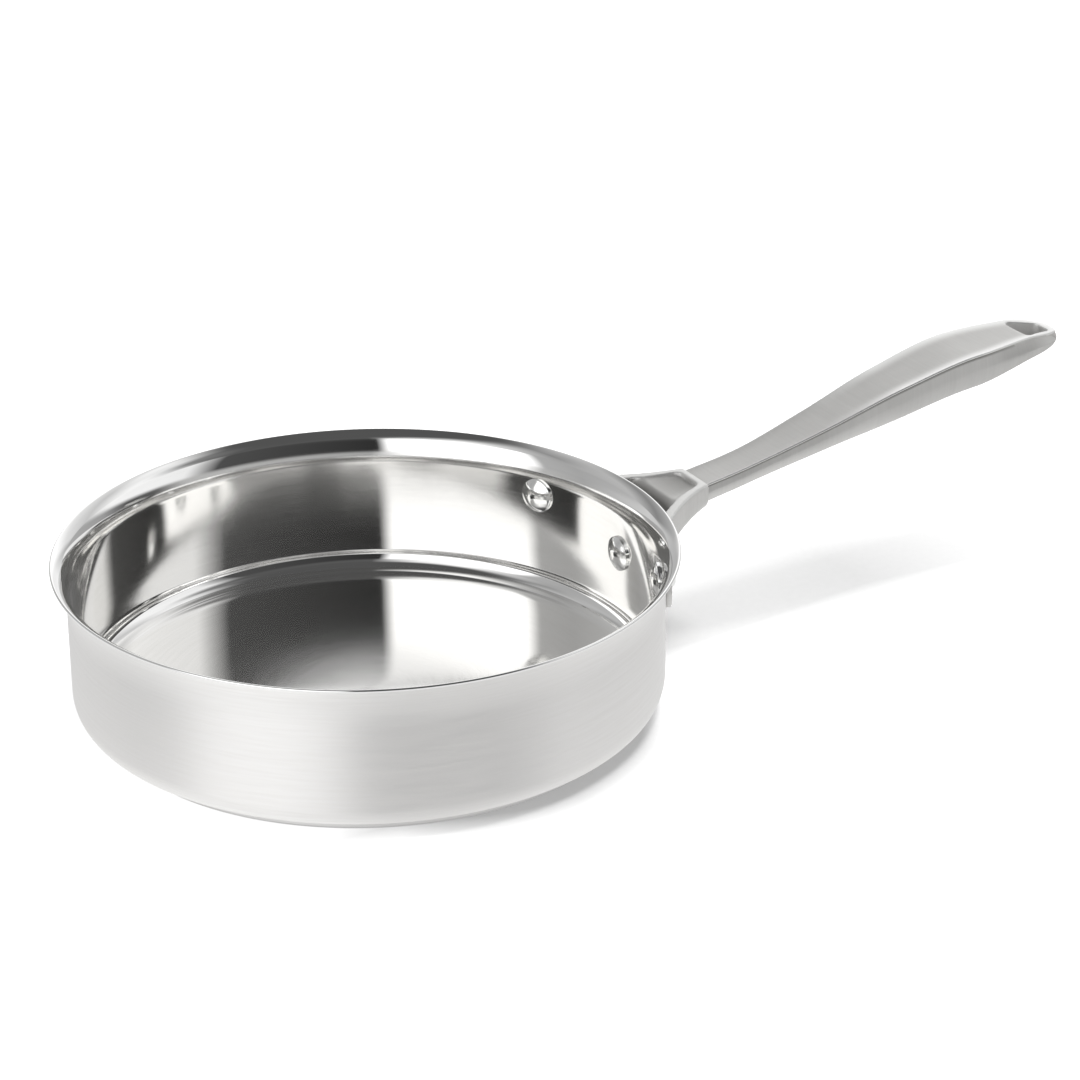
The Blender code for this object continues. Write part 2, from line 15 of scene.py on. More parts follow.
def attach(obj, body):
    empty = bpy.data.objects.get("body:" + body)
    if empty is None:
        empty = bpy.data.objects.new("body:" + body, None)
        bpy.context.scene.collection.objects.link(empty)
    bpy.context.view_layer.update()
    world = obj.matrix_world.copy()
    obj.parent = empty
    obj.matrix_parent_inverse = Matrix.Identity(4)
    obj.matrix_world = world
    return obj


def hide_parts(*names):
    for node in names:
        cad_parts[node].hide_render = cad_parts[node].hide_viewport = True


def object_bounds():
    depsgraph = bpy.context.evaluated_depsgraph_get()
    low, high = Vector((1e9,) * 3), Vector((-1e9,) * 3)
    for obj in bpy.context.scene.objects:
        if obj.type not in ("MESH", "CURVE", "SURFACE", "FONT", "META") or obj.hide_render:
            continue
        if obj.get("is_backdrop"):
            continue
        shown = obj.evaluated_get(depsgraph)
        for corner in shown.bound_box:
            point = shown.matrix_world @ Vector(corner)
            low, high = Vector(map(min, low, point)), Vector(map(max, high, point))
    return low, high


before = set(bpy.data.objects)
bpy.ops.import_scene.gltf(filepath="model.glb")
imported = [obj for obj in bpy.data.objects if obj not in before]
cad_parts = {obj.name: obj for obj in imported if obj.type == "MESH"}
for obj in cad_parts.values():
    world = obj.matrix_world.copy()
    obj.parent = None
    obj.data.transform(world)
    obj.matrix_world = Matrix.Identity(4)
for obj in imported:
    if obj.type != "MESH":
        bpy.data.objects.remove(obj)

scene = bpy.context.scene
cad_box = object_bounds()
print("CAD nodes:", sorted(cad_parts))

# %% [markdown]
# The camera
# The photograph looks down on the pan from the front left of its handle, through a long lens. The camera's
# matrix is written out from its tilt, its slight roll and its place, and then turned about the pan's axis,
# because a matrix says exactly where a camera stands, where a tracking constraint would need a target.

# %% The camera at the photograph's angle
TURN_TO_PHOTO = math.radians(-29.5)
CAMERA_TILT = math.radians(24.36)
CAMERA_ROLL = math.radians(-0.55)
CAMERA_PLACE = Vector((0.0707, -1.33, 0.6739))
LENS = 120.0
SENSOR = 36.0


def new_object(name, data):
    """A new object in the scene, for a mesh, a lamp or a camera."""
    thing = bpy.data.objects.new(name, data)
    scene.collection.objects.link(thing)
    return thing


def photo_camera():
    """A camera that looks down at the pan as the photograph does."""
    forward = Vector((0, math.cos(CAMERA_TILT), -math.sin(CAMERA_TILT)))
    level = Vector((1, 0, 0))
    upward = Vector((0, math.sin(CAMERA_TILT), math.cos(CAMERA_TILT)))
    right = math.cos(CAMERA_ROLL) * level + math.sin(CAMERA_ROLL) * upward
    top = math.cos(CAMERA_ROLL) * upward - math.sin(CAMERA_ROLL) * level
    columns = Matrix((right, top, -forward)).transposed().to_4x4()
    columns.translation = CAMERA_PLACE
    camera = new_object("camera", bpy.data.cameras.new("camera"))
    camera.data.lens = LENS
    camera.data.sensor_width = SENSOR
    camera.matrix_world = Matrix.Rotation(TURN_TO_PHOTO, 4, "Z") @ columns
    return camera


scene.camera = photo_camera()
scene.view_settings.view_transform = "Standard"
print("camera at", [round(value, 3) for value in scene.camera.matrix_world.translation])

# %% [markdown]
# Small helpers for node trees
# Materials, the world and Geometry Nodes are all trees of nodes. A few short helpers add a node with its
# settings and wire it up. What comes out of a node adds and multiplies as a number does, with one Math
# node for each step, so that each tree below reads as a recipe.

# %% Values that come out of nodes
class Value:
    """What comes out of a node. Adding or multiplying it makes one Math node."""

    def __init__(self, socket):
        self.socket, self.tree = socket, socket.id_data

    def __add__(self, other):
        return solve("ADD", self, other)

    def __sub__(self, other):
        return solve("SUBTRACT", self, other)

    def __rsub__(self, other):
        return solve("SUBTRACT", other, self)

    def __mul__(self, other):
        return solve("MULTIPLY", self, other)

    def __truediv__(self, other):
        return solve("DIVIDE", self, other)

    def __abs__(self):
        return solve("ABSOLUTE", self)

    def between(self, start, end, low=0.0, high=1.0, kind="LINEAR"):
        """Where it stands between a start and an end, spread between a low and a high number."""
        inputs = dict(enumerate((self, start, end, low, high)))
        return made(self.tree, "ShaderNodeMapRange", inputs, interpolation_type=kind)


def wire(value, socket):
    """Feeds an input with a value from another node, or sets it to a number or a colour."""
    if isinstance(value, Value):
        value.tree.links.new(value.socket, socket)
    else:
        socket.default_value = value


def add_node(tree, kind, inputs=None, **settings):
    """A new node with its properties and its inputs set."""
    node = tree.nodes.new(kind)
    for name, setting in settings.items():
        setattr(node, name, setting)
    for name, value in (inputs or {}).items():
        wire(value, node.inputs[name])
    return node


def made(tree, kind, inputs=None, output=0, **settings):
    """The value that comes out of a new node."""
    return Value(add_node(tree, kind, inputs, **settings).outputs[output])


def solve(operation, *terms):
    """The result of one Math node on values and numbers."""
    tree = next(term.tree for term in terms if isinstance(term, Value))
    return made(tree, "ShaderNodeMath", dict(enumerate(terms)), operation=operation)


print("values can be added and multiplied")

# %% Helpers for nodes
def most(first, second):
    """The larger of two values."""
    return solve("MAXIMUM", first, second)


def blend(share, first, second):
    """A colour that goes from one to another as a share does. Each is a value or red, green and blue."""
    inputs = {0: share}
    for place, colour in ((6, first), (7, second)):
        inputs[place] = (*colour, 1) if isinstance(colour, tuple) else colour
    return made(share.tree, "ShaderNodeMix", inputs, output=2, data_type="RGBA")


def joined(tree, x, y, z=0.0):
    """A vector from three values or numbers."""
    return made(tree, "ShaderNodeCombineXYZ", {0: x, 1: y, 2: z})


def parted(vector):
    """A vector's three parts."""
    return [Value(part) for part in add_node(vector.tree, "ShaderNodeSeparateXYZ", {0: vector}).outputs]


def distance(place):
    """How far a place lies from the middle of the pan's underside."""
    return made(place.tree, "ShaderNodeVectorMath", {0: place}, output="Value", operation="LENGTH")


def object_place(tree):
    """The place on the object that is being shaded."""
    return made(tree, "ShaderNodeTexCoord", output="Object")


def noise(place, scale, detail=2.0, roughness=0.5):
    """Soft noise between 0 and 1."""
    inputs = {"Vector": place, "Scale": scale, "Detail": detail, "Roughness": roughness}
    return made(place.tree, "ShaderNodeTexNoise", inputs)


def by_camera(tree):
    """1 for what the camera sees directly, 0 for mirrored and scattered light."""
    return made(tree, "ShaderNodeLightPath", output="Is Camera Ray")


print("node helpers ready")

# %% [markdown]
# The studio
# Polished steel has hardly any colour of its own: it shows the room. The photograph's room is a white
# table, a large soft light at the left of the camera, dark space at its right and pale walls behind the
# pan. Here the world is that room, written as brightness round the compass at three heights, while the
# camera itself sees white. One broad lamp overhead throws the soft shadow that lies under the handle.

# %% The world
# Each stop of a wall is (compass degrees from straight ahead of the camera, brightness)
LOW_WALL = (
    (0, 0.9), (15, 0.95), (30, 0.45), (60, 0.35), (75, 0.1), (90, 0.1), (105, 0.5), (118, 0.5),
    (180, 0.4), (190, 1.0), (205, 1.9), (235, 1.8), (250, 0.5), (270, 0.4), (310, 0.65),
    (345, 0.45), (360, 0.9),
)
MIDDLE_WALL = (
    (0, 1.15), (15, 1.3), (30, 0.8), (45, 0.6), (65, 1.0), (103, 0.9), (110, 0.5), (118, 0.08),
    (183, 0.03), (188, 1.4), (246, 1.35), (252, 0.45), (270, 0.4), (305, 0.5),
    (320, 0.25), (335, 0.45), (345, 0.95), (360, 1.15),
)
HIGH_WALL = (
    (0, 1.0), (35, 0.7), (50, 1.0), (68, 0.8), (82, 0.25), (110, 0.1), (180, 0.1), (190, 0.5),
    (205, 1.0), (230, 1.2), (250, 0.7), (280, 0.3), (320, 0.6), (350, 1.05), (360, 1.0),
)
OVERHEAD = (0.09, 0.09, 0.09)
# Each meeting of one wall with the next is (degrees up where it starts, degrees up where it ends)
MEETINGS = ((8, 16), (38, 52), (54, 68))
WHITE = (1, 1, 1)


def wall_round(share, stops):
    """The brightness of one wall at a share of the compass."""
    wall = add_node(share.tree, "ShaderNodeValToRGB", {0: share})
    ramp = wall.color_ramp.elements
    ramp.remove(ramp[1])
    for angle, brightness in stops:
        stop = ramp.new(angle / 360) if angle else ramp[0]
        stop.color = (brightness, brightness, brightness, 1)
    return Value(wall.outputs[0])


def studio_world():
    """Walls of different brightness round the compass, at three heights, and white for the camera."""
    world = bpy.data.worlds.new("studio")
    world.use_nodes = True
    scene.world = world
    tree = world.node_tree
    tree.nodes.clear()
    turn = {"Vector": made(tree, "ShaderNodeTexCoord", output="Generated"), "Angle": -TURN_TO_PHOTO}
    x, y, z = parted(made(tree, "ShaderNodeVectorRotate", turn, rotation_type="Z_AXIS"))
    share = solve("FRACT", solve("ARCTAN2", x, y) / math.tau)
    height = solve("ARCSINE", z)
    room, *higher = [wall_round(share, stops) for stops in (LOW_WALL, MIDDLE_WALL, HIGH_WALL)]
    for (start, end), above in zip(MEETINGS, (*higher, OVERHEAD)):
        risen = height.between(math.radians(start), math.radians(end), kind="SMOOTHSTEP")
        room = blend(risen, room, above)
    background = {"Color": blend(by_camera(tree), room, WHITE), "Strength": 1.0}
    add_node(tree, "ShaderNodeOutputWorld", {0: made(tree, "ShaderNodeBackground", background)})


studio_world()
print("world walls at three heights:", len(LOW_WALL), len(MIDDLE_WALL), len(HIGH_WALL), "stops")

# %% The lamp overhead
LAMP_ALONG = 0.3
LAMP_ACROSS = 1.1
LAMP_POWER = 57.0
LAMP_PLACE = (0.3, -0.06, 1.5)


def overhead_lamp():
    """A broad soft lamp, long across the handle, that the camera and the mirrors don't see."""
    lamp = bpy.data.lights.new("overhead", "AREA")
    lamp.shape = "RECTANGLE"
    lamp.size = LAMP_ALONG
    lamp.size_y = LAMP_ACROSS
    lamp.energy = LAMP_POWER
    holder = new_object("overhead", lamp)
    holder.location = LAMP_PLACE
    holder.visible_camera = False
    holder.visible_glossy = False
    return holder


print("lamp:", overhead_lamp().name)

# %% [markdown]
# The floor
# The photograph's table is so bright that only shadows mark it. A diffuse floor takes the shadow, and a
# glow for the camera lifts it to white. The glow is thinner under the handle and at the pan's near right
# side, where the photograph keeps its shadows. The metal sees a glow with painted light and shadow in it:
# brighter at its left, where the soft light falls on the table, darker at its far right, where the handle
# shades the table, and darker right beside the base, where the pan shades it.

# %% The floor
FLOOR_REACH = 40.0
GLOW_IN_SHADOWS = 0.29
GLOW_ELSEWHERE = 0.88
# The handle's shadow is a lane that starts at the wall, slants and widens away from it
LANE_START = 0.15
LANE_SLANT = 0.28
LANE_WIDENING = 0.15
LANE_EDGE = (0.022, 0.055)
LANE_NEAR_END = (0.1, 0.05)
LANE_FAR_END = (0.24, 0.42)
# The pan's own shadow is a crescent at its near right side, which narrows towards the camera
NEAR_RIGHT = (0.43, -0.9)
CRESCENT_EDGE = (0.118, 0.138)
CRESCENT_END = (0.78, 0.5)
CRESCENT_NARROWING = (0.98, 0.68, 0.0, 0.018)
# The metal sees painted light and shadow on the table that change across the camera's view: (leftward from,
# leftward to, change)
LEFTWARD = (-0.87, 0.49)
MIRRORED_FAR_RIGHT = 0.64
MIRRORED_CHANGES = ((-0.31, -0.24, 0.24), (-0.02, 0.08, 0.12), (0.1, 0.17, -0.15))
# A painted shadow right beside the base, which the metal sees: (distance from the axis where it starts to
# fade, distance where it is gone, level at the base, level beyond)
PAINTED_SHADOW_BESIDE_BASE = (0.11, 0.12, 0.5, 1.0)
MATT_TONES = ((0.29, 0.29, 0.29), (0.32, 0.32, 0.32))
MATT_GRAIN = 300.0


def along_way(x, y, way):
    """How far a place lies along a direction."""
    return x * way[0] + y * way[1]


def beside_handle(x, y):
    """0 on the strip of table where the handle's shadow lies, 1 away from it."""
    along = most(x - LANE_START, 0.0)
    aside = abs(y - along * LANE_SLANT) - along * LANE_WIDENING
    ends = most(x.between(*LANE_NEAR_END), x.between(*LANE_FAR_END))
    return most(aside.between(*LANE_EDGE), ends)


def beside_pan(x, y):
    """0 on the table close to the pan's near right side, 1 away from it."""
    away = distance(joined(x.tree, x, y))
    facing = along_way(x, y, NEAR_RIGHT) / away
    narrowed = away + facing.between(*CRESCENT_NARROWING)
    return most(narrowed.between(*CRESCENT_EDGE), facing.between(*CRESCENT_END))


def mirrored_level(x, y):
    """The painted light and shadow that the metal sees on the table, from the far right of the camera's view
    to the far left, darker right beside the base.
    """
    leftward = along_way(x, y, LEFTWARD)
    level = MIRRORED_FAR_RIGHT
    for start, end, change in MIRRORED_CHANGES:
        level = leftward.between(start, end, 0.0, change) + level
    return level * distance(joined(x.tree, x, y)).between(*PAINTED_SHADOW_BESIDE_BASE)


def glowing(level):
    """A shader that gives out plain light."""
    return made(level.tree, "ShaderNodeEmission", {"Strength": level})


def new_mesh(name, points, edges, faces):
    """A new mesh from its points and the edges or faces between them."""
    mesh = bpy.data.meshes.new(name)
    mesh.from_pydata(points, edges, faces)
    return mesh


def pale_floor():
    """A wide floor that keeps shadows and is white elsewhere."""
    corners = [(x * FLOOR_REACH, y * FLOOR_REACH, 0.0) for x, y in ((-1, -1), (1, -1), (1, 1), (-1, 1))]
    mesh = new_mesh("floor", corners, [], [(0, 1, 2, 3)])
    material = bpy.data.materials.new("pale_floor")
    material.use_nodes = True
    tree = material.node_tree
    tree.nodes.clear()
    spot = object_place(tree)
    matt = made(tree, "ShaderNodeBsdfDiffuse", {"Color": blend(noise(spot, MATT_GRAIN), *MATT_TONES)})
    x, y, _ = parted(spot)
    share = solve("MINIMUM", beside_handle(x, y), beside_pan(x, y))
    lift = glowing(share.between(0.0, 1.0, GLOW_IN_SHADOWS, GLOW_ELSEWHERE))
    lit = made(tree, "ShaderNodeAddShader", {0: matt, 1: lift})
    both = {0: by_camera(tree), 1: glowing(mirrored_level(x, y)), 2: lit}
    add_node(tree, "ShaderNodeOutputMaterial", {0: made(tree, "ShaderNodeMixShader", both)})
    mesh.materials.append(material)
    new_object("floor", mesh)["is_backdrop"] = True


pale_floor()
print("floor laid")

# %% [markdown]
# Shared finishes
# Every surface here was turned, brushed or cast. Three node groups hold what these finishes share: lines
# that run round the pan's axis, soft patches where a hand or a cloth has been, and the grain of a casting.
# A group gives out only values that change over the surface, so the same group serves many materials.

# %% Group: lines that run round the axis
LINE_LIMITS = (0.28, 0.72)


def new_tree(name, kind, inputs, outputs):
    """A node group, its given values by name, and its results. Each socket is held by its label with its
    kind, or with the number that a float starts from."""
    tree = bpy.data.node_groups.new(name, kind)
    for way, sockets in (("INPUT", inputs), ("OUTPUT", outputs)):
        for label, held in sockets.items():
            held_kind = held if isinstance(held, str) else "Float"
            socket = tree.interface.new_socket(label, in_out=way, socket_type="NodeSocket" + held_kind)
            if held_kind == "Float":
                socket.default_value = held
    return tree, values_of(add_node(tree, "NodeGroupInput")), add_node(tree, "NodeGroupOutput").inputs


def values_of(node):
    """All the values that come out of a node, by name."""
    return {socket.name: Value(socket) for socket in node.outputs}


def round_lines_group():
    """Fine lines round Z: quick to change across them and slow along them, with no seam."""
    inputs = {"Lines": 900.0, "Breaks": 3.0}
    tree, given, result = new_tree("round_lines", "ShaderNodeTree", inputs, {"Lines": 0.0})
    x, y, z = parted(object_place(tree))
    flat = joined(tree, x, y)
    ways = parted(made(tree, "ShaderNodeVectorMath", {0: flat}, operation="NORMALIZE"))
    across = (distance(flat) + z) * given["Lines"]
    lines = noise(joined(tree, *[way * given["Breaks"] for way in ways[:2]], across), 1.0, roughness=0.6)
    wire(lines.between(*LINE_LIMITS), result["Lines"])
    return tree


ROUND_LINES = round_lines_group()
print("group:", ROUND_LINES.name)

# %% Group: soft patches
def patches_group():
    """Broad soft patches, as heat and wiping leave."""
    inputs = {"Scale": 14.0, "Reach": 0.25}
    tree, given, result = new_tree("soft_patches", "ShaderNodeTree", inputs, {"Mask": 0.0})
    cloud = noise(object_place(tree), given["Scale"], detail=3.0, roughness=0.55)
    patches = cloud.between(0.5 - given["Reach"], given["Reach"] + 0.5, kind="SMOOTHSTEP")
    wire(patches, result["Mask"])
    return tree


SOFT_PATCHES = patches_group()
print("group:", SOFT_PATCHES.name)

# %% Group: the grain of a casting
BELT_DRAG = 0.06


def casting_group():
    """Fine pits and the marks of a belt that ran across the handle."""
    inputs = {"Pits": 1500.0, "Marks": 700.0}
    tree, given, result = new_tree("casting_grain", "ShaderNodeTree", inputs, {"Pits": 0.0, "Marks": 0.0})
    spot = object_place(tree)
    x, y, z = parted(spot)
    slow = given["Marks"] * BELT_DRAG
    wire(noise(spot, given["Pits"]), result["Pits"])
    marks = noise(joined(tree, x * given["Marks"], y * slow, z * slow), 1.0, detail=4.0, roughness=0.6)
    wire(marks, result["Marks"])
    return tree


CASTING = casting_group()
print("group:", CASTING.name)

# %% [markdown]
# Materials
# The turned faces are brushed in circles, and the scratches spread a reflection across themselves: that is
# anisotropy, set on the shader with a tangent that runs round the axis. The rim, the corner and the rivets
# are buffed like mirrors, and the turned faces give a faint painted glow after three mirrorings. The handle
# is satin, with its edges buffed and a highlight painted on its top, which a mask on its mesh marks, and
# shade painted in its groove, hole and pocket, which a second mask marks.

# %% The turned finishes
# Turned metal gives a faint painted glow after this many mirrorings, at this strength
MIRRORINGS = 2.5
DEEP_MIRRORING = 0.055
WORN_PLACE = (0.09, 0.03)
QUARTER_TURN = 0.25


def start_material(name):
    """A Principled material for bare metal, its tree and its shader's inputs."""
    material = bpy.data.materials.new(name)
    material.use_nodes = True
    sockets = material.node_tree.nodes["Principled BSDF"].inputs
    wire(1.0, sockets["Metallic"])
    return material, material.node_tree, sockets


def use_group(tree, group, **inputs):
    """What comes out of a group whose inputs are set."""
    return values_of(add_node(tree, "ShaderNodeGroup", inputs, node_tree=group))


def both_shares(first, second):
    """Four tenths of one value and six tenths of another."""
    return first * 0.4 + second * 0.6


def bumped(height, relief):
    """A surface's direction where a height of so many metres stands up from it."""
    inputs = {"Height": height, "Strength": 1.0, "Distance": relief}
    return made(height.tree, "ShaderNodeBump", inputs)


def deep_mirroring(tree):
    """A faint painted glow in place of the light after three mirrorings, where a renderer stops counting and
    would leave black.
    """
    depth = made(tree, "ShaderNodeLightPath", output="Ray Depth")
    return solve("GREATER_THAN", depth, MIRRORINGS) * DEEP_MIRRORING


def turned_metal(name, tints, roughness, lines, breaks, relief, anisotropy, wear=0.0):
    """Metal with lines round the axis: tints, roughness, the lines' height, and wear towards the axis."""
    material, tree, sockets = start_material(name)
    line = use_group(tree, ROUND_LINES, Lines=lines, Breaks=breaks)["Lines"]
    mark = both_shares(use_group(tree, SOFT_PATCHES)["Mask"], line)
    wire(blend(mark, *tints), sockets["Base Color"])
    rough = mark.between(0.0, 1.0, *roughness)
    if wear:
        rough = rough + distance(object_place(tree)).between(*WORN_PLACE, 0.0, wear)
    wire(rough, sockets["Roughness"])
    wire(bumped(line, relief), sockets["Normal"])
    if anisotropy:
        wire(anisotropy, sockets["Anisotropic"])
        wire(QUARTER_TURN, sockets["Anisotropic Rotation"])
        wire(made(tree, "ShaderNodeTangent", direction_type="RADIAL", axis="Z"), sockets["Tangent"])
    wire(deep_mirroring(tree), sockets["Emission Strength"])
    return material


STEEL = ((0.89, 0.885, 0.88), (0.94, 0.94, 0.935))
WARM_STEEL = ((0.87, 0.865, 0.85), (0.93, 0.925, 0.915))
SATIN_STEEL = ((0.89, 0.88, 0.865), (0.98, 0.975, 0.965))
ALUMINIUM = ((0.7, 0.71, 0.72), (0.78, 0.79, 0.8))
# Each finish has the values that turned_metal takes, in its order
FINISHES = (
    ("buffed_lip", STEEL, (0.02, 0.05), 300.0, 2.0, 0.0000002, 0.0),
    ("brushed_wall", WARM_STEEL, (0.06, 0.1), 900.0, 4.0, 0.0000002, 0.7),
    ("buffed_corner", STEEL, (0.03, 0.06), 900.0, 1.0, 0.000001, 0.0),
    ("brushed_floor", WARM_STEEL, (0.05, 0.08), 900.0, 2.0, 0.0000002, 0.85, 0.12),
    ("satin_outside", SATIN_STEEL, (0.4, 0.52), 700.0, 4.0, 0.000002, 0.9),
    ("satin_cap", SATIN_STEEL, (0.3, 0.4), 700.0, 3.0, 0.000002, 0.8),
    ("raw_core", ALUMINIUM, (0.4, 0.5), 600.0, 2.0, 0.000004, 0.0),
)
TURNED = {finish[0]: turned_metal(*finish) for finish in FINISHES}
print("turned finishes:", sorted(TURNED))

# %% The cast and buffed finishes
SATIN_TINTS = ((0.66, 0.655, 0.64), (0.84, 0.835, 0.82))
# The tint of buffed edges and of the painted highlight, and the tint of painted shade
POLISH_AND_HIGHLIGHT_TINT = (0.97, 0.97, 0.96)
PAINTED_SHADE_TINT = (0.2, 0.195, 0.185)
BUFFED_TINTS = ((0.86, 0.86, 0.85), (0.93, 0.93, 0.92))
# Roughness from the least to the most marked places, and how much smoother buffing makes it
CAST_ROUGHNESS = (0.54, 0.62)
BUFFING = 0.18
BUFFED_ROUGHNESS = (0.05, 0.12)
PIT_RELIEF = 0.000004


def masked(tree, label):
    """A mask that the mesh carries."""
    settings = {"attribute_name": label, "attribute_type": "GEOMETRY"}
    return made(tree, "ShaderNodeAttribute", output="Fac", **settings)


def cast_metal(name):
    """Satin casting with lighter buffed edges, a painted highlight on the grip's top and painted shade in
    its hollows, where the mesh's masks say.
    """
    material, tree, sockets = start_material(name)
    polish, shade = (masked(tree, label) for label in ("polish", "shade"))
    grain = use_group(tree, CASTING)
    mark = both_shares(use_group(tree, SOFT_PATCHES, Scale=30.0)["Mask"], grain["Marks"])
    # Buffed edges and a painted highlight lighten the tint, and painted shade darkens it in the hollows
    bright = blend(polish, blend(mark, *SATIN_TINTS), POLISH_AND_HIGHLIGHT_TINT)
    wire(blend(shade, bright, PAINTED_SHADE_TINT), sockets["Base Color"])
    wire(mark.between(0.0, 1.0, *CAST_ROUGHNESS) - polish * BUFFING, sockets["Roughness"])
    relief = (grain["Pits"] + grain["Marks"]) * (1.0 - polish)
    wire(bumped(relief, PIT_RELIEF), sockets["Normal"])
    return material


def buffed_metal(name):
    """Mirror buffed steel with a few faint swirls."""
    material, tree, sockets = start_material(name)
    patch = use_group(tree, SOFT_PATCHES, Scale=250.0, Reach=0.4)["Mask"]
    wire(blend(patch, *BUFFED_TINTS), sockets["Base Color"])
    wire(patch.between(0.0, 1.0, *BUFFED_ROUGHNESS), sockets["Roughness"])
    return material


CAST = cast_metal("cast_satin")
BUFFED = buffed_metal("buffed_rivet")
print("cast finish:", CAST.name, "and", BUFFED.name)

# %% [markdown]
# Turning a profile with Geometry Nodes
# The vessel and the cap are sheet that was pressed and turned, so their shape is a rule: one profile
# carried round an axis. The tree lays out a grid with a column for each step round and a row for each
# point of the profile, and then moves each grid point to its place. A Screw modifier would do as well, but
# the tree shows how a rule moves points, and it closes its own seam and poles.

# %% The turning tree
SAME_PLACE = 0.000002


def real_and_dressed(shape, material):
    """A shape with its copies made real and its material set."""
    real = made(shape.tree, "GeometryNodeRealizeInstances", {0: shape})
    return made(shape.tree, "GeometryNodeSetMaterial", {"Geometry": real, "Material": material})


def carried_round(radius, angle, height):
    """The place at a radius, an angle round Z and a height."""
    x, y = (radius * solve(way, angle) for way in ("COSINE", "SINE"))
    return joined(angle.tree, x, y, height)


def turning_tree():
    """A profile of points at (radius, 0, height) carried round Z and made one closed surface."""
    inputs = {"Profile": "Geometry", "Steps": "Int", "Material": "Material"}
    tree, given, result = new_tree("turn_profile", "GeometryNodeTree", inputs, {"Mesh": "Geometry"})
    profile = given["Profile"]
    rows = made(tree, "GeometryNodeAttributeDomainSize", {0: profile}, output="Point Count")
    columns = given["Steps"] + 1.0
    grid = made(tree, "GeometryNodeMeshGrid", {"Vertices X": columns, "Vertices Y": rows})
    number = made(tree, "GeometryNodeInputIndex")
    spot = made(tree, "GeometryNodeInputPosition")
    wanted = {"Geometry": profile, "Value": spot, "Index": solve("MODULO", number, rows)}
    across, _, height = parted(made(tree, "GeometryNodeSampleIndex", wanted, data_type="FLOAT_VECTOR"))
    angle = solve("FLOOR", number / rows) * math.tau / given["Steps"]
    place = carried_round(across, angle, height)
    moved = made(tree, "GeometryNodeSetPosition", {"Geometry": grid, "Position": place})
    closed = made(tree, "GeometryNodeMergeByDistance", {"Geometry": moved, "Distance": SAME_PLACE})
    soft = made(tree, "GeometryNodeSetShadeSmooth", {"Geometry": closed})
    wire(real_and_dressed(soft, given["Material"]), result["Mesh"])
    return tree


TURNING = turning_tree()
print("tree:", TURNING.name, "with", len(TURNING.nodes), "nodes")

# %% From a tree to a plain mesh
def with_tree(guide, tree, values):
    """Puts a geometry tree on an object and sets its inputs by their identifiers."""
    modifier = guide.modifiers.new(tree.name, "NODES")
    modifier.node_group = tree
    for item in tree.interface.items_tree:
        if item.in_out == "INPUT" and item.name in values:
            modifier[item.identifier] = values[item.name]
    return guide


def solved_mesh(thing):
    """An object's shape with its modifiers worked out, as a new mesh."""
    bpy.context.view_layer.update()
    graph = bpy.context.evaluated_depsgraph_get()
    return bpy.data.meshes.new_from_object(thing.evaluated_get(graph))


def plain_piece(guide, name):
    """The guide's worked-out shape as a plain mesh object at the origin, with the guide removed."""
    mesh = solved_mesh(guide)
    mesh.name = name
    bpy.data.objects.remove(guide)
    return new_object(name, mesh)


def turned_piece(name, points, steps, material):
    """A closed piece turned from a profile that runs up its outer side."""
    edges = [(at, at + 1) for at in range(len(points) - 1)]
    profile = new_mesh(name + "_profile", [(x, 0.0, z) for x, z in points], edges, [])
    guide = new_object(name + "_profile", profile)
    return plain_piece(with_tree(guide, TURNING, {"Steps": steps, "Material": material}), name)


def bow(centre_x, centre_z, radius, start, end, steps):
    """Points along an arc between two angles in degrees, both ends included."""
    angles = np.radians(np.linspace(start, end, steps + 1))
    return [(centre_x + radius * math.cos(a), centre_z + radius * math.sin(a)) for a in angles]


print("turning helpers ready")

# %% [markdown]
# The vessel
# One sheet forms the floor, a rounded corner, a straight wall and a lip that flares out to pour from. The
# profile is walked up the outside, over the rim and down the inside, and each stretch of it carries the
# name of its finish: satin outside, a buffed lip, a brushed wall, a buffed corner and a brushed floor.

# %% The vessel's sizes
RIM_RADIUS = 0.128
PAN_HEIGHT = 0.0686
SHEET = 0.002
FLARE_RADIUS = 0.0308
FLARE_TURN = 36.4
CORNER_RADIUS = 0.0103
BASE_STEP = 0.0041
BASE_MARGIN = 0.0009
CAP_SHEET = 0.0006
CAP_EDGE_RADIUS = 0.0012
ROUND_STEPS = 288

FLARE_END = math.radians(FLARE_TURN)
FLARE_CENTRE = RIM_RADIUS - SHEET / 2 + (FLARE_RADIUS + SHEET / 2) * math.cos(FLARE_END)
FLARE_RISE = (FLARE_RADIUS + SHEET / 2) * math.sin(FLARE_END)
FLARE_LIFT = 0.0004
FLARE_START = PAN_HEIGHT - SHEET / 2 - FLARE_RISE + FLARE_LIFT
WALL_RADIUS = FLARE_CENTRE - FLARE_RADIUS
FLOOR_RADIUS = WALL_RADIUS - CORNER_RADIUS
BASE_RADIUS = FLOOR_RADIUS - BASE_MARGIN
print("wall radius", round(WALL_RADIUS, 4), "floor radius", round(FLOOR_RADIUS, 4))

# %% The vessel's profile and mesh
def level_run(start, end, height, steps):
    """Points at one height, from one radius to another."""
    return [(radius, height) for radius in np.linspace(start, end, steps + 1)]


def upright_run(radius, start, end, steps):
    """Points at one radius, from one height to another."""
    return [(radius, height) for height in np.linspace(start, end, steps + 1)]


def flare_run(radius, steps):
    """Points up the flare, at a distance from its centre, which lies outside the wall."""
    return bow(FLARE_CENTRE, FLARE_START, radius, 180, 180 - FLARE_TURN, steps)


BRIM_RADIUS = 0.014
BEND_RADIUS = 0.001
BELL_RADIUS = 0.020
# The way the profile heads where the lip's arcs meet, in degrees, and how many steps each arc has
HEADINGS = (90 - FLARE_TURN, 209, 228, 236, 249, 270)
LIP_STEPS = (12, 12, 4, 8, 12)
FLARE_STEPS = 18


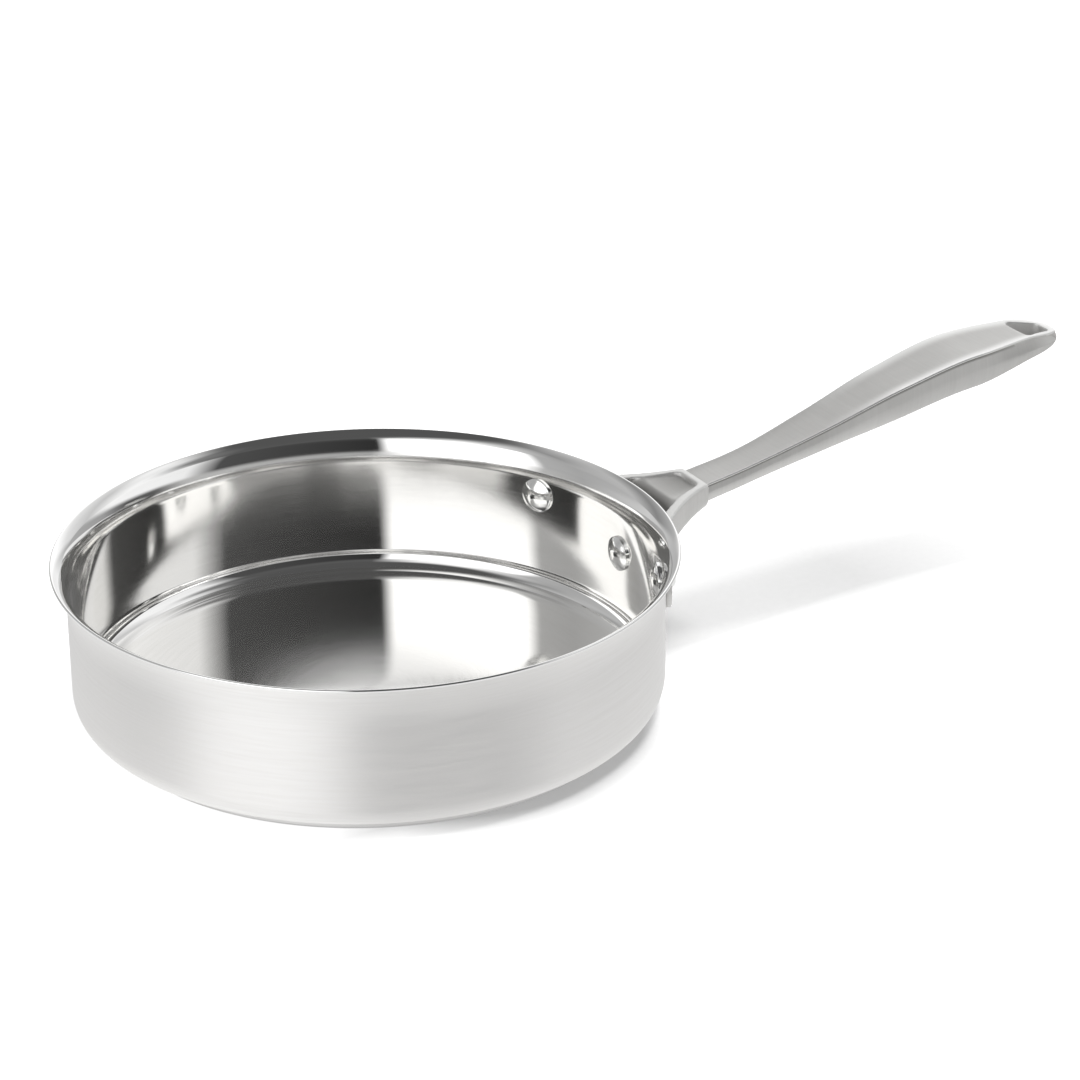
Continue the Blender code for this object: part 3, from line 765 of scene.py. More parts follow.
def lip_runs(inner):
    """The lip in five arcs that all turn left: rim edge, brim, bend, buffed bell and brushed bell."""
    outer_end = flare_run(FLARE_RADIUS, 1)[-1]
    sines = [math.sin(math.radians(heading)) for heading in HEADINGS]
    later = (BRIM_RADIUS, BEND_RADIUS, BELL_RADIUS, BELL_RADIUS)
    taken = sum(radius * (before - after) for radius, before, after in zip(later, sines[1:], sines[2:]))
    edge = (outer_end[0] - inner - taken) / (sines[0] - sines[1])
    runs, (x, z) = [], outer_end
    for radius, start, end, steps in zip((edge, *later), HEADINGS, HEADINGS[1:], LIP_STEPS):
        turn = math.radians(start)
        centre_x, centre_z = x - radius * math.sin(turn), z + radius * math.cos(turn)
        runs.append(bow(centre_x, centre_z, radius, start - 90, end - 90, steps))
        x, z = runs[-1][-1]
    return runs


def vessel_stretches():
    """The profile's stretches in order, each with the name of its finish."""
    corner_z = BASE_STEP + CORNER_RADIUS
    inner = WALL_RADIUS - SHEET
    *lip, flare = lip_runs(inner)
    return (
        ("satin_outside", level_run(0.0, FLOOR_RADIUS, BASE_STEP, 12)),
        ("satin_outside", bow(FLOOR_RADIUS, corner_z, CORNER_RADIUS, -90, 0, 14)),
        ("satin_outside", upright_run(WALL_RADIUS, corner_z, FLARE_START, 6)),
        ("satin_outside", flare_run(FLARE_RADIUS, FLARE_STEPS)),
        *[("buffed_lip", run) for run in lip],
        ("brushed_wall", flare),
        ("brushed_wall", upright_run(inner, flare[-1][1], corner_z, 6)),
        ("buffed_corner", bow(FLOOR_RADIUS, corner_z, CORNER_RADIUS - SHEET, 0, -90, 16)),
        ("brushed_floor", level_run(FLOOR_RADIUS, 0.0, BASE_STEP + SHEET, 24)),
    )


def dress(piece, *finishes):
    """Gives a piece one or more finishes in place of what it has."""
    piece.data.materials.clear()
    for finish in finishes:
        piece.data.materials.append(finish)


def joined_profile(stretches):
    """All stretches as one profile, and the finish of each of its segments."""
    points, finishes = [stretches[0][1][0]], []
    for finish, run in stretches:
        finishes += [finish] * (len(run) - 1)
        points += run[1:]
    return points, finishes


def dress_by_profile(piece, points, finishes):
    """Gives each face the finish of the profile segment that it was turned from."""
    names = list(dict.fromkeys(finishes))
    dress(piece, *[TURNED[name] for name in names])
    line = np.array(points)
    middles = (line[1:] + line[:-1]) / 2
    for face in piece.data.polygons:
        spot = (math.hypot(*face.center[:2]), face.center[2])
        nearest = int(np.argmin(((middles - spot) ** 2).sum(1)))
        face.material_index = names.index(finishes[nearest])


points, finishes = joined_profile(vessel_stretches())
vessel = turned_piece("vessel", points, ROUND_STEPS, TURNED["satin_outside"])
dress_by_profile(vessel, points, finishes)
print("vessel:", len(points), "profile points,", len(vessel.data.polygons), "faces")

# %% [markdown]
# The base
# A thick aluminium disc spreads the heat, and a thin steel cap is pressed over it. The cap is turned as
# the vessel was, and its edge reaches up to the vessel so that no light shows between them.

# %% The cap
SHARP = math.radians(40)


def cap_profile():
    """Up the outside of the cap from the middle of its underside, and back along its inside."""
    centre = BASE_RADIUS - CAP_EDGE_RADIUS
    inside = CAP_EDGE_RADIUS - CAP_SHEET
    points = level_run(0.0, centre, 0.0, 20)
    points += bow(centre, CAP_EDGE_RADIUS, CAP_EDGE_RADIUS, -90, 0, 8)[1:]
    points += [(BASE_RADIUS, BASE_STEP), (BASE_RADIUS - CAP_SHEET, BASE_STEP)]
    points += bow(centre, CAP_EDGE_RADIUS, inside, 0, -90, 6)
    points += level_run(centre, 0.0, CAP_SHEET, 6)[1:]
    return points


cap = turned_piece("base_shell", cap_profile(), ROUND_STEPS, TURNED["satin_cap"])
cap.data.set_sharp_from_angle(angle=SHARP)
dress(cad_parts["base_core_disc"], TURNED["raw_core"])
print("cap:", len(cap.data.polygons), "faces")

# %% [markdown]
# The rivets
# Three solid rivets hold the handle. Each has a buffed dome inside the pan and a smaller one on the flange
# outside. One rivet is turned from its profile, and a second tree sets a copy at each of three places that
# follow from the wall's radius, the angle between rivets and their two heights.

# %% One rivet
RIVET_SPREAD = 24.8
UPPER_RIVET_HEIGHT = PAN_HEIGHT - 0.0196
LOWER_RIVET_HEIGHT = PAN_HEIGHT - 0.0301
HEAD_RADIUS = 0.0075
HEAD_RISE = 0.0035
HEAD_EDGE = 0.0007
SHANK_RADIUS = 0.0032
TAIL_RADIUS = 0.0042
TAIL_RISE = 0.0023
FLANGE_THICKNESS = 0.0024
CLEARANCE = 0.0003
EDGE_SOFTENING = 0.0003


def rivet_profile():
    """Up a rivet's outer side: its head below, its tail above, and the wall's inner face at height 0."""
    rise = HEAD_RISE - HEAD_EDGE
    sphere = (HEAD_RADIUS**2 + rise**2) / (2 * rise)
    sweep = math.degrees(math.asin((HEAD_RADIUS - EDGE_SOFTENING) / sphere))
    points = bow(0.0, sphere - HEAD_RISE - CLEARANCE, sphere, -90, -90 + sweep, 14)
    edge = points[-1][1] + EDGE_SOFTENING
    points += bow(HEAD_RADIUS - EDGE_SOFTENING, edge, EDGE_SOFTENING, -60, 0, 4)[1:]
    points += [(HEAD_RADIUS, SHEET / 4), (SHANK_RADIUS, SHEET / 4)]
    seat = SHEET + FLANGE_THICKNESS + CLEARANCE
    points += [(SHANK_RADIUS, seat), (TAIL_RADIUS, seat)]
    tail = (TAIL_RADIUS**2 + TAIL_RISE**2) / (2 * TAIL_RISE)
    sweep = math.degrees(math.asin(TAIL_RADIUS / tail))
    points += bow(0.0, seat + TAIL_RISE - tail, tail, 90 - sweep, 90, 12)[1:]
    return points


rivet = turned_piece("one_rivet", rivet_profile(), steps=64, material=BUFFED)
rivet.data.set_sharp_from_angle(angle=SHARP)
print("one rivet:", len(rivet.data.polygons), "faces")

# %% The tree that sets the rivets
def riveting_tree():
    """A copy of the rivet at each of three places on the wall, its axis pointing out."""
    numbers = {label: 0.0 for label in ("Wall radius", "Spread", "Upper height", "Lower height")}
    inputs = {"Rivet": "Geometry", **numbers, "Material": "Material"}
    tree, given, result = new_tree("set_rivets", "GeometryNodeTree", inputs, {"Mesh": "Geometry"})
    three = made(tree, "GeometryNodeMeshLine", {"Count": 3})
    side = made(tree, "GeometryNodeInputIndex") - 1.0
    angle = side * given["Spread"]
    height = given["Lower height"] + abs(side) * (given["Upper height"] - given["Lower height"])
    place = carried_round(given["Wall radius"], angle, height)
    spots = made(tree, "GeometryNodeSetPosition", {"Geometry": three, "Position": place})
    turn = joined(tree, 0.0, math.pi / 2, angle)
    setting = {"Points": spots, "Instance": given["Rivet"], "Rotation": turn}
    copies = made(tree, "GeometryNodeInstanceOnPoints", setting)
    wire(real_and_dressed(copies, given["Material"]), result["Mesh"])
    return tree


RIVETING = riveting_tree()
values = {
    "Wall radius": WALL_RADIUS - SHEET,
    "Spread": math.radians(RIVET_SPREAD),
    "Upper height": UPPER_RIVET_HEIGHT,
    "Lower height": LOWER_RIVET_HEIGHT,
    "Material": BUFFED,
}
rivets = plain_piece(with_tree(rivet, RIVETING, values), "rivets")
print("rivets:", len(rivets.data.polygons), "faces")

# %% [markdown]
# The handle's grip
# The grip is a casting: narrow at the neck, widening into the palm and thinning again round a hanging
# hole. Its section changes all the way along, so it is a loft: a ring of points at each of many places,
# joined into one skin. Smooth curves through seven named sections give each ring its width, height and
# depth. A sharp crest runs round the top, over a fine groove.

# %% The grip's sizes
HANDLE_REACH = 0.2217
YOKE_LENGTH = 0.0362
COLLAR_TOP = PAN_HEIGHT - 0.0026
COLLAR_END = WALL_RADIUS + YOKE_LENGTH
TIP = WALL_RADIUS + HANDLE_REACH
GRIP_TUCK = 0.0025
TIP_ROUND_LENGTH = 0.0185
TIP_ROUND_START = TIP - TIP_ROUND_LENGTH
TIP_BLUNTNESS = 2.4
WAIST_PLACE = COLLAR_END + 0.022
SWELL_PLACE = TIP - 0.049
HOLE_BACK = TIP - 0.0191
FORE_PLACE = WAIST_PLACE + (SWELL_PLACE - WAIST_PLACE) / 3
PALM_PLACE = SWELL_PLACE - (SWELL_PLACE - WAIST_PLACE) / 3
PLACES = (COLLAR_END - GRIP_TUCK, WAIST_PLACE, FORE_PLACE, PALM_PLACE, SWELL_PLACE, HOLE_BACK, TIP)
HALF_WIDTHS = (0.0092, 0.0089, 0.0112, 0.0138, 0.0153, 0.0119, 0.0104)
SIDE_STANDS = (0.0, 0.0, 0.0, 0.0, 0.0, 0.0033, 0.0026)
RISES = (-0.0012, 0.0029, 0.0130, 0.0247, 0.0327, 0.03409, 0.0322)
DEPTHS = (0.0106, 0.0103, 0.0128, 0.0177, 0.0189, 0.0122, 0.0064)
GROOVES = (1.0, 1.0, 1.0, 1.0, 1.0, 0.0, 0.0)
CREST_RADIUS = 0.0005
TOP_HOLLOW = 0.0007
GROOVE_DEPTH = 0.0009
GROOVE_DROP = 0.0014
SIDE_LINE = 0.4
FULLNESS = 2.6
TOP_SHARE = 0.97
# How finely a half section is laid out on its top, round its crest, down its side and round below
TOP_POINTS = 12
CREST_STEPS = 6
SIDE_POINTS = 5
UNDER_STEPS = 18
# Where a half section has its crest and its groove, counted in points from the middle of the top
CREST_AT = TOP_POINTS + 2
GROOVE_AT = TOP_POINTS + CREST_STEPS + 1
print("grip from", round(PLACES[0], 4), "to", round(TIP, 4))

# %% A smooth curve through the sections
def through(values, at):
    """The height at one place of a smooth curve through the sections that never overshoots them."""
    slopes = np.diff(values) / np.diff(PLACES)
    tangents = [slopes[0]]
    for before, after in zip(slopes, slopes[1:]):
        tangents.append(0.0 if before * after <= 0 else 2 * before * after / (before + after))
    tangents.append(slopes[-1])
    spot = min(int(np.searchsorted(PLACES[1:-1], at)), len(slopes) - 1)
    span = PLACES[spot + 1] - PLACES[spot]
    part = (at - PLACES[spot]) / span
    rest = 1 - part
    ends = values[spot] * rest * rest * (1 + 2 * part) + values[spot + 1] * part * part * (1 + 2 * rest)
    return ends + span * part * rest * (tangents[spot] * rest - tangents[spot + 1] * part)


def grip_half(at, closing):
    """Half of a section, from the middle of the top to the middle of the underside, as (across, height)."""
    top_half = through(HALF_WIDTHS, at)
    softening = (1 + closing) / 2
    crest = CREST_RADIUS * closing
    side_half = (top_half + through(SIDE_STANDS, at)) * closing
    top_half = top_half * closing
    groove = GROOVE_DEPTH * through(GROOVES, at) * closing
    depth = through(DEPTHS, at) * softening
    top = COLLAR_TOP + through(RISES, at) - depth * (1 - softening) / 2
    line = top - depth * SIDE_LINE
    hollow = TOP_HOLLOW * closing
    inner = top_half - crest
    shares = np.linspace(0, TOP_SHARE, TOP_POINTS)
    half = [(share * inner, top - hollow * (1 - share**3)) for share in shares]
    half += bow(inner, top - crest, crest, 90, -30, CREST_STEPS)
    low = top - GROOVE_DROP * closing
    start = top_half - groove
    for share in np.linspace(0, 1, SIDE_POINTS + 1)[:-1]:
        half.append((start + (side_half - start) * share, low + (line - low) * share))
    power = 2 / FULLNESS
    under = line - top + depth
    for angle in np.linspace(0, math.pi / 2, UNDER_STEPS + 1)[:-1]:
        half.append((side_half * math.cos(angle) ** power, line - under * math.sin(angle) ** power))
    half.append((0.0, top - depth))
    return half


def ring_from_half(at, half):
    """A whole ring from its half."""
    right = [(at, -across, height) for across, height in half]
    left = [(at, across, height) for across, height in reversed(half[1:-1])]
    return right + left


print("a half section has", len(grip_half(SWELL_PLACE, 1.0)), "points")

# %% Lofting rings into a closed skin
LOFT_SHARP = math.radians(50)


def loft(name, rings):
    """A casting whose skin joins rings of as many points each, closed at both ends."""
    count = len(rings[0])
    verts = [point for ring in rings for point in ring]
    faces = []
    for ring in range(len(rings) - 1):
        for at in range(count):
            before = (at - 1) % count
            first, second = ring * count, (ring + 1) * count
            faces.append((first + before, first + at, second + at, second + before))
    faces.append(tuple(range(count)))
    faces.append(tuple(range(len(verts) - 1, len(verts) - count - 1, -1)))
    mesh = new_mesh(name, verts, [], faces)
    shape = bmesh.new()
    shape.from_mesh(mesh)
    bmesh.ops.recalc_face_normals(shape, faces=shape.faces)
    shape.to_mesh(mesh)
    shape.free()
    mesh.materials.append(CAST)
    mesh.shade_smooth()
    mesh.set_sharp_from_angle(angle=LOFT_SHARP)
    return new_object(name, mesh)


GRIP_RINGS = 130
TIP_RINGS = 30
TIP_SWEEP = math.radians(84)
GROOVE_SHOWS = 0.3


def grip_rings():
    """The grip's rings from inside the collar to the tip, and the lines of its crest and groove."""
    places = [(at, 1.0) for at in np.linspace(PLACES[0], TIP_ROUND_START, GRIP_RINGS + 1)[:-1]]
    power = 2 / TIP_BLUNTNESS
    for angle in np.linspace(0, TIP_SWEEP, TIP_RINGS):
        along = TIP_ROUND_START + TIP_ROUND_LENGTH * math.sin(angle) ** power
        places.append((along, math.cos(angle) ** power))
    rings, crest, groove = [], [], []
    for at, closing in places:
        half = grip_half(at, closing)
        rings.append(ring_from_half(at, half))
        crest.append((at, *half[CREST_AT]))
        if through(GROOVES, at) > GROOVE_SHOWS:
            groove.append((at, *half[GROOVE_AT]))
    return rings, np.array(crest), np.array(groove)


rings, crest_line, groove_line = grip_rings()
grip = loft("grip", rings)
print("grip:", len(rings), "rings,", len(grip.data.polygons), "faces")

# %% [markdown]
# The hanging hole
# A rounded wedge goes through the handle's end, and its mouths are rounded over. Bevelling a hole after it
# is cut is fragile, so the cutter itself flares at the top and at the bottom, where it follows the height
# of the grip's own surface at each point of the outline.

# %% The hole's outline and cutter
HOLE_FRONT = TIP - 0.0042
BACK_HALF = 0.0094
FRONT_HALF = 0.0046
BACK_ROUNDING = 0.0016
FRONT_ROUNDING = 0.0032
HOLE_CORNERS = (
    (HOLE_BACK, BACK_HALF, BACK_ROUNDING),
    (HOLE_BACK, -BACK_HALF, BACK_ROUNDING),
    (HOLE_FRONT, -FRONT_HALF, FRONT_ROUNDING),
    (HOLE_FRONT, FRONT_HALF, FRONT_ROUNDING),
)
MOUTH_RADIUS = 0.0006
MOUTH_TURN = 70
MOUTH_OVERRUN = 0.0003
CUTTER_OVERRUN = 0.004


def rounded_outline(corners, corner_steps, side_steps):
    """A closed anticlockwise outline with its corners rounded, and the outward direction at each point."""
    arcs = []
    for at, (x, y, radius) in enumerate(corners):
        corner = Vector((x, y))
        before = (Vector(corners[at - 1][:2]) - corner).normalized()
        after = (Vector(corners[(at + 1) % len(corners)][:2]) - corner).normalized()
        half = before.angle(after) / 2
        centre = corner + (before + after).normalized() * radius / math.sin(half)
        first = corner + before * radius / math.tan(half) - centre
        turn = math.atan2(first.y, first.x)
        angles = turn + (math.pi - 2 * half) * np.linspace(0, 1, corner_steps + 1)
        arcs.append([(centre.x + radius * math.cos(a), centre.y + radius * math.sin(a), a) for a in angles])
    outline = []
    for at, arc in enumerate(arcs):
        outline += arc
        end, start = arc[-1], arcs[(at + 1) % len(arcs)][0]
        for share in np.linspace(0, 1, side_steps + 1)[1:-1]:
            x, y = (end[way] + (start[way] - end[way]) * share for way in (0, 1))
            outline.append((x, y, end[2]))
    return outline


def grip_faces_at(x, y):
    """The heights of the grip's top and underside at one point near its tip."""
    sine = max(0.0, (x - TIP_ROUND_START) / TIP_ROUND_LENGTH) ** (TIP_BLUNTNESS / 2)
    closing = math.sqrt(max(0.0, 1 - sine * sine)) ** (2 / TIP_BLUNTNESS)
    half = grip_half(x, closing)
    upper = np.array(half[: TOP_POINTS + 1])
    lower = np.array(half[-UNDER_STEPS - 1 :])[::-1]
    top = float(np.interp(abs(y), upper[:, 0], upper[:, 1]))
    return top, float(np.interp(abs(y), lower[:, 0], lower[:, 1]))


def mouth(height, direction):
    """How a mouth's edge rounds over: (offset, height) pairs from inside the hole outwards."""
    pairs = []
    for angle in np.radians(np.linspace(0, MOUTH_TURN, 6)):
        lift = MOUTH_RADIUS * (1 - math.sin(angle))
        pairs.append((MOUTH_RADIUS * (1 - math.cos(angle)), height - direction * lift))
    across, up = pairs[-1]
    across += MOUTH_OVERRUN * math.tan(math.radians(MOUTH_TURN))
    pairs += [(across, up + direction * MOUTH_OVERRUN), (across, height + direction * CUTTER_OVERRUN)]
    return pairs


def hole_cutter():
    """The cutter for the hanging hole, with flared mouths."""
    outline = rounded_outline(HOLE_CORNERS, corner_steps=8, side_steps=8)
    columns = []
    for x, y, turn in outline:
        top, under = grip_faces_at(x, y)
        column = mouth(under, -1)[::-1] + mouth(top, 1)
        columns.append([(x + push * math.cos(turn), y + push * math.sin(turn), z) for push, z in column])
    return loft("hole_cutter", [list(ring) for ring in zip(*columns)]), outline


cutter, hole_outline = hole_cutter()
print("hole cutter:", len(cutter.data.polygons), "faces")

# %% Cutting the hole
def carve(piece, tool, operation="DIFFERENCE"):
    """Cuts one tool out of a piece, or joins it on, and removes the tool."""
    modifier = piece.modifiers.new("carve", "BOOLEAN")
    modifier.operation = operation
    modifier.solver = "EXACT"
    modifier.object = tool
    mesh = solved_mesh(piece)
    piece.modifiers.clear()
    piece.data = mesh
    bpy.data.objects.remove(tool)
    return piece


carve(grip, cutter)
grip.data.shade_smooth()
grip.data.set_sharp_from_angle(angle=SHARP)
print("grip with its hole:", len(grip.data.polygons), "faces")

# %% [markdown]
# Marking what is buffed, and where highlight and shade are painted
# Buffing catches edges, and hollows stay unbuffed. A highlight is painted on the top along the crest, and
# shade is painted in the groove and down the hole. The material reads two masks from the mesh, polish with
# the painted highlight, and painted shade, and they are worked out from distances: how far each point lies
# from the crest, from the groove under it and from the mouth of the hole, and how far down the hole it is.

# %% The grip's masks
# How far each mark and the painted highlight reach from their lines, how dark the painted shade in the
# groove and the hole is, and how much room each limit leaves
HIGHLIGHT_REACH = 0.007
CREST_REACH = 0.0009
MOUTH_REACH = 0.0012
GROOVE_REACH = 0.0007
GROOVE_SHADE = 0.9
GROOVE_FADING = 0.03
HOLE_SHADE = 0.75
HOLE_SHADE_START = 0.0008
HOLE_SHADE_FALL = 0.003
TOP_SLACK = 0.0006
HOLE_SLACK = 0.0001


def nearness(points, line, reach):
    """1 on a line of points, falling smoothly to 0 at a reach from it."""
    nearest = np.full(len(points), np.inf)
    for spot in line:
        nearest = np.minimum(nearest, ((points - spot) ** 2).sum(1))
    share = np.clip(1 - np.sqrt(nearest) / reach, 0, 1)
    return share * share * (3 - 2 * share)


def set_masks(piece, **masks):
    """Stores masks on a piece's points."""
    for name, values in masks.items():
        mask = piece.data.attributes.new(name, "FLOAT", "POINT")
        mask.data.foreach_set("value", values.astype(np.float32))


def points_of(piece):
    """A piece's points as an array."""
    flat = np.zeros(len(piece.data.vertices) * 3)
    piece.data.vertices.foreach_get("co", flat)
    return flat.reshape(-1, 3)


def both_sides(line):
    """A line along one side of the handle, and its mirror image along the other."""
    return np.vstack((line, line * np.array((1, -1, 1))))


def hole_depth(points):
    """How far each point lies down the hole, from 0 at its mouth to 1."""
    x, y, z = points.T
    inside = (x > HOLE_BACK - HOLE_SLACK) & (x < HOLE_FRONT + HOLE_SLACK)
    inside &= np.abs(y) < BACK_HALF + 2 * HOLE_SLACK
    tops = np.zeros(len(points))
    for at in np.flatnonzero(inside):
        tops[at] = grip_faces_at(x[at], y[at])[0]
    return np.where(inside, np.clip((tops - z - HOLE_SHADE_START) / HOLE_SHADE_FALL, 0, 1), 0.0)


mouth_line = np.array([(x, y, grip_faces_at(x, y)[0]) for x, y, _ in hole_outline])
spots = points_of(grip)
crest_lines = both_sides(crest_line)
# A painted highlight: a lighter band on the top along the crest, where the real top rounds over and catches
# the light
on_top = spots[:, 2] > np.interp(spots[:, 0], crest_line[:, 0], crest_line[:, 2]) - TOP_SLACK
swelling = np.clip((spots[:, 0] - FORE_PLACE) / (PALM_PLACE - FORE_PLACE), 0, 1)
painted_highlight = on_top * swelling * nearness(spots, crest_lines, HIGHLIGHT_REACH)
edges = np.maximum(nearness(spots, crest_lines, CREST_REACH), nearness(spots, mouth_line, MOUTH_REACH))
polish = np.maximum(painted_highlight, edges)
# Painted shade darkens the groove under the crest, fading out before the hole, and the hole below its mouth
groove_end = np.clip((HOLE_BACK - spots[:, 0]) / GROOVE_FADING, 0, 1)
groove = GROOVE_SHADE * groove_end * nearness(spots, both_sides(groove_line), GROOVE_REACH)
set_masks(grip, polish=polish, shade=np.maximum(groove, HOLE_SHADE * hole_depth(spots)))
print("buffed points on the grip:", int((polish > 0.5).sum()))

# %% [markdown]
# The yoke and the flange
# Two arms spread from a collar at the neck to a curved flange on the wall, with a dished pocket between
# them. A foundry's mould leaves every inner corner rounded. Booleans join the forms, and a fine voxel
# remesh with a little smoothing then turns their sharp meetings into cast fillets.

# %% The yoke's sizes
YOKE_DIP = 0.0585
YOKE_DIP_CURVE = 1.7
COLLAR_HALF_WIDTH = 0.0109
COLLAR_DEPTH = 0.0110
COLLAR_LENGTH = 0.0036
COLLAR_ROUNDING = 0.0012
ARM_SPLAY = 0.255
ARM_CURVE = 11.0
ARM_THICKNESS = 0.0037
ARM_GROWTH = 0.04
ARM_EDGE_RADIUS = 0.0012
ARM_UNDER_RADIUS = 0.004
UNDERSIDE_FALL = 0.25
WEB_LENGTH = 0.014
WEB_DEPTH = 0.004
POCKET_NECK_DEPTH = 0.0024
POCKET_SHELF_LENGTH = 0.015
POCKET_SHELF_FALL = 0.04
POCKET_WALL_FALL = 0.6
POCKET_DISH = 0.0012
POCKET_CORNER_RADIUS = 0.0028
FLANGE_ROUNDING = 0.0008
EAR_RADIUS = 0.010
EAR_DROP = 0.002
LOBE_RADIUS = 0.010
INSIDE_START = WALL_RADIUS - 0.008
YOKE_RINGS = 40
print("yoke from the wall to", round(COLLAR_END, 4))

# %% The yoke as a solid
def yoke_half_width(at):
    """Half of the yoke's width outside its arms."""
    back = COLLAR_END - at
    return COLLAR_HALF_WIDTH + ARM_SPLAY * back + ARM_CURVE * back * back


def yoke_top(at):
    """The height of the arms' top faces."""
    back = COLLAR_END - at
    return COLLAR_TOP - YOKE_DIP * back - YOKE_DIP_CURVE * back * back


def yoke_section(at, inset):
    """The ring round the yoke at one place, drawn in by an inset."""
    web = WEB_DEPTH * max(0.0, 1 - (at - WALL_RADIUS) / WEB_LENGTH) ** 2
    under = COLLAR_TOP - COLLAR_DEPTH - UNDERSIDE_FALL * (COLLAR_END - at) - web + inset
    across = yoke_half_width(at) - inset
    top = yoke_top(at) - inset
    half = [(across * share, top) for share in (0.0, 0.3, 0.6)]
    half += bow(across - ARM_EDGE_RADIUS, top - ARM_EDGE_RADIUS, ARM_EDGE_RADIUS, 90, 0, 5)
    half += bow(across - ARM_UNDER_RADIUS, under + ARM_UNDER_RADIUS, ARM_UNDER_RADIUS, 0, -90, 7)
    half += [(across * share, under) for share in (0.5, 0.25, 0.0)]
    return ring_from_half(at, half)


def closed_rings(section, end, rounding, steps):
    """Rings of a section from inside the wall to an end that rounds over."""
    straight_end = end - rounding
    rings = [section(at, 0.0) for at in np.linspace(INSIDE_START, straight_end, YOKE_RINGS + 1)[:-1]]
    return rings + [section(at, inset) for at, inset in bow(straight_end, rounding, rounding, -90, 0, steps)]


yoke = loft("yoke", closed_rings(yoke_section, COLLAR_END, COLLAR_ROUNDING, steps=5))
print("yoke:", len(yoke.data.polygons), "faces")

# %% The pocket between the arms
POCKET_END = COLLAR_END - COLLAR_LENGTH
SHELF_END = POCKET_END - POCKET_SHELF_LENGTH


def inner_half_width(at):
    """Half of the width between the arms, which thicken towards the wall."""
    back = COLLAR_END - at
    slope = ARM_SPLAY + 2 * ARM_CURVE * back
    return yoke_half_width(at) - (ARM_THICKNESS + ARM_GROWTH * back) * np.hypot(1, slope)


def pocket_section(at, inset):
    """The ring round the pocket at one place, drawn in by an inset."""
    across = inner_half_width(at) - inset
    depth = POCKET_NECK_DEPTH + POCKET_SHELF_FALL * (POCKET_END - at)
    depth += POCKET_WALL_FALL * max(0.0, SHELF_END - at)
    half = [(0.0, COLLAR_TOP + CUTTER_OVERRUN), (across, COLLAR_TOP + CUTTER_OVERRUN)]
    for share in (1.0, 0.95, 0.88, 0.8, 0.68, 0.5, 0.25, 0.0):
        half.append((across * share, COLLAR_TOP - depth + POCKET_DISH * share**4))
    return ring_from_half(at, half)


pocket = closed_rings(pocket_section, POCKET_END, POCKET_CORNER_RADIUS, steps=8)
carve(yoke, loft("pocket_cutter", pocket))
print("yoke with its pocket:", len(yoke.data.polygons), "faces")

# %% [markdown]
# The flange
# The flange is a plate cut flat and then bent. Its outline is the hull of three discs, one round each
# rivet. It is built flat as rows of points from edge to edge, and each point is then wrapped round the
# wall, so its thickness stays even.

# %% The flange bent round the wall
FLANGE_RADIUS = WALL_RADIUS + CLEARANCE + FLANGE_THICKNESS
EAR_PLACE = FLANGE_RADIUS * math.radians(RIVET_SPREAD)
FLANGE_RINGS = 119


def flange_reach(along):
    """The lowest and highest height of the flat flange at one place along it."""
    upper = UPPER_RIVET_HEIGHT - EAR_DROP
    tilt = math.atan2(upper - LOWER_RIVET_HEIGHT, EAR_PLACE)
    side = abs(along)
    ear_half = math.sqrt(max(0.0, EAR_RADIUS**2 - (side - EAR_PLACE) ** 2))
    top = upper + (EAR_RADIUS if side < EAR_PLACE else ear_half)
    if side < LOBE_RADIUS * math.sin(tilt):
        low = LOWER_RIVET_HEIGHT - math.sqrt(LOBE_RADIUS**2 - side**2)
    elif side < EAR_PLACE + EAR_RADIUS * math.sin(tilt):
        low = LOWER_RIVET_HEIGHT + side * math.tan(tilt) - LOBE_RADIUS / math.cos(tilt)
    else:
        low = upper - ear_half
    return low, top


def flange_piece():
    """The flange: rings across it, from one end to the other, wrapped round the wall."""
    rings = []
    for angle in np.linspace(-math.pi / 2, math.pi / 2, FLANGE_RINGS + 2)[1:-1]:
        along = (EAR_PLACE + EAR_RADIUS) * math.sin(angle)
        low, top = flange_reach(along)
        edge = min(FLANGE_ROUNDING, (top - low) / 3)
        outer, inner = FLANGE_RADIUS, WALL_RADIUS - SHEET / 2
        path = [(inner, low), *bow(outer - edge, low + edge, edge, -90, 0, 3)]
        path += [(outer, low + (top - low) * share) for share in (0.25, 0.5, 0.75)]
        path += [*bow(outer - edge, top - edge, edge, 0, 90, 3), (inner, top)]
        turn = along / FLANGE_RADIUS
        rings.append([(radius * math.cos(turn), radius * math.sin(turn), height) for radius, height in path])
    return loft("flange", rings)


carve(yoke, flange_piece(), "UNION")
print("yoke with its flange:", len(yoke.data.polygons), "faces")

# %% Cutting the wall's side and rounding the meetings
WALL_TOUCH = 0.0001
CUTTER_LOW = -0.01
CUTTER_HIGH = 0.09
VOXEL = 0.0005
RELAXING = 6


def wall_cutter():
    """The vessel filled in, which the casting keeps out of."""
    points = [(0.0, CUTTER_LOW), (WALL_RADIUS + WALL_TOUCH, CUTTER_LOW)]
    points += flare_run(FLARE_RADIUS - WALL_TOUCH, FLARE_STEPS)
    outside = RIM_RADIUS + WALL_TOUCH
    points += [(outside, PAN_HEIGHT - SHEET / 2), (outside, CUTTER_HIGH), (0.0, CUTTER_HIGH)]
    return turned_piece("wall_cutter", points, steps=144, material=CAST)


def rounded_casting(piece, name):
    """A voxel skin over a piece, relaxed so that its inner corners round like a casting's."""
    skin = piece.modifiers.new("skin", "REMESH")
    skin.mode = "VOXEL"
    skin.voxel_size = VOXEL
    skin.use_smooth_shade = True
    relax = piece.modifiers.new("relax", "SMOOTH")
    relax.factor = 0.5
    relax.iterations = RELAXING
    return plain_piece(piece, name)


yoke = rounded_casting(carve(yoke, wall_cutter()), "yoke_and_flange")
print("cast yoke:", len(yoke.data.polygons), "faces")

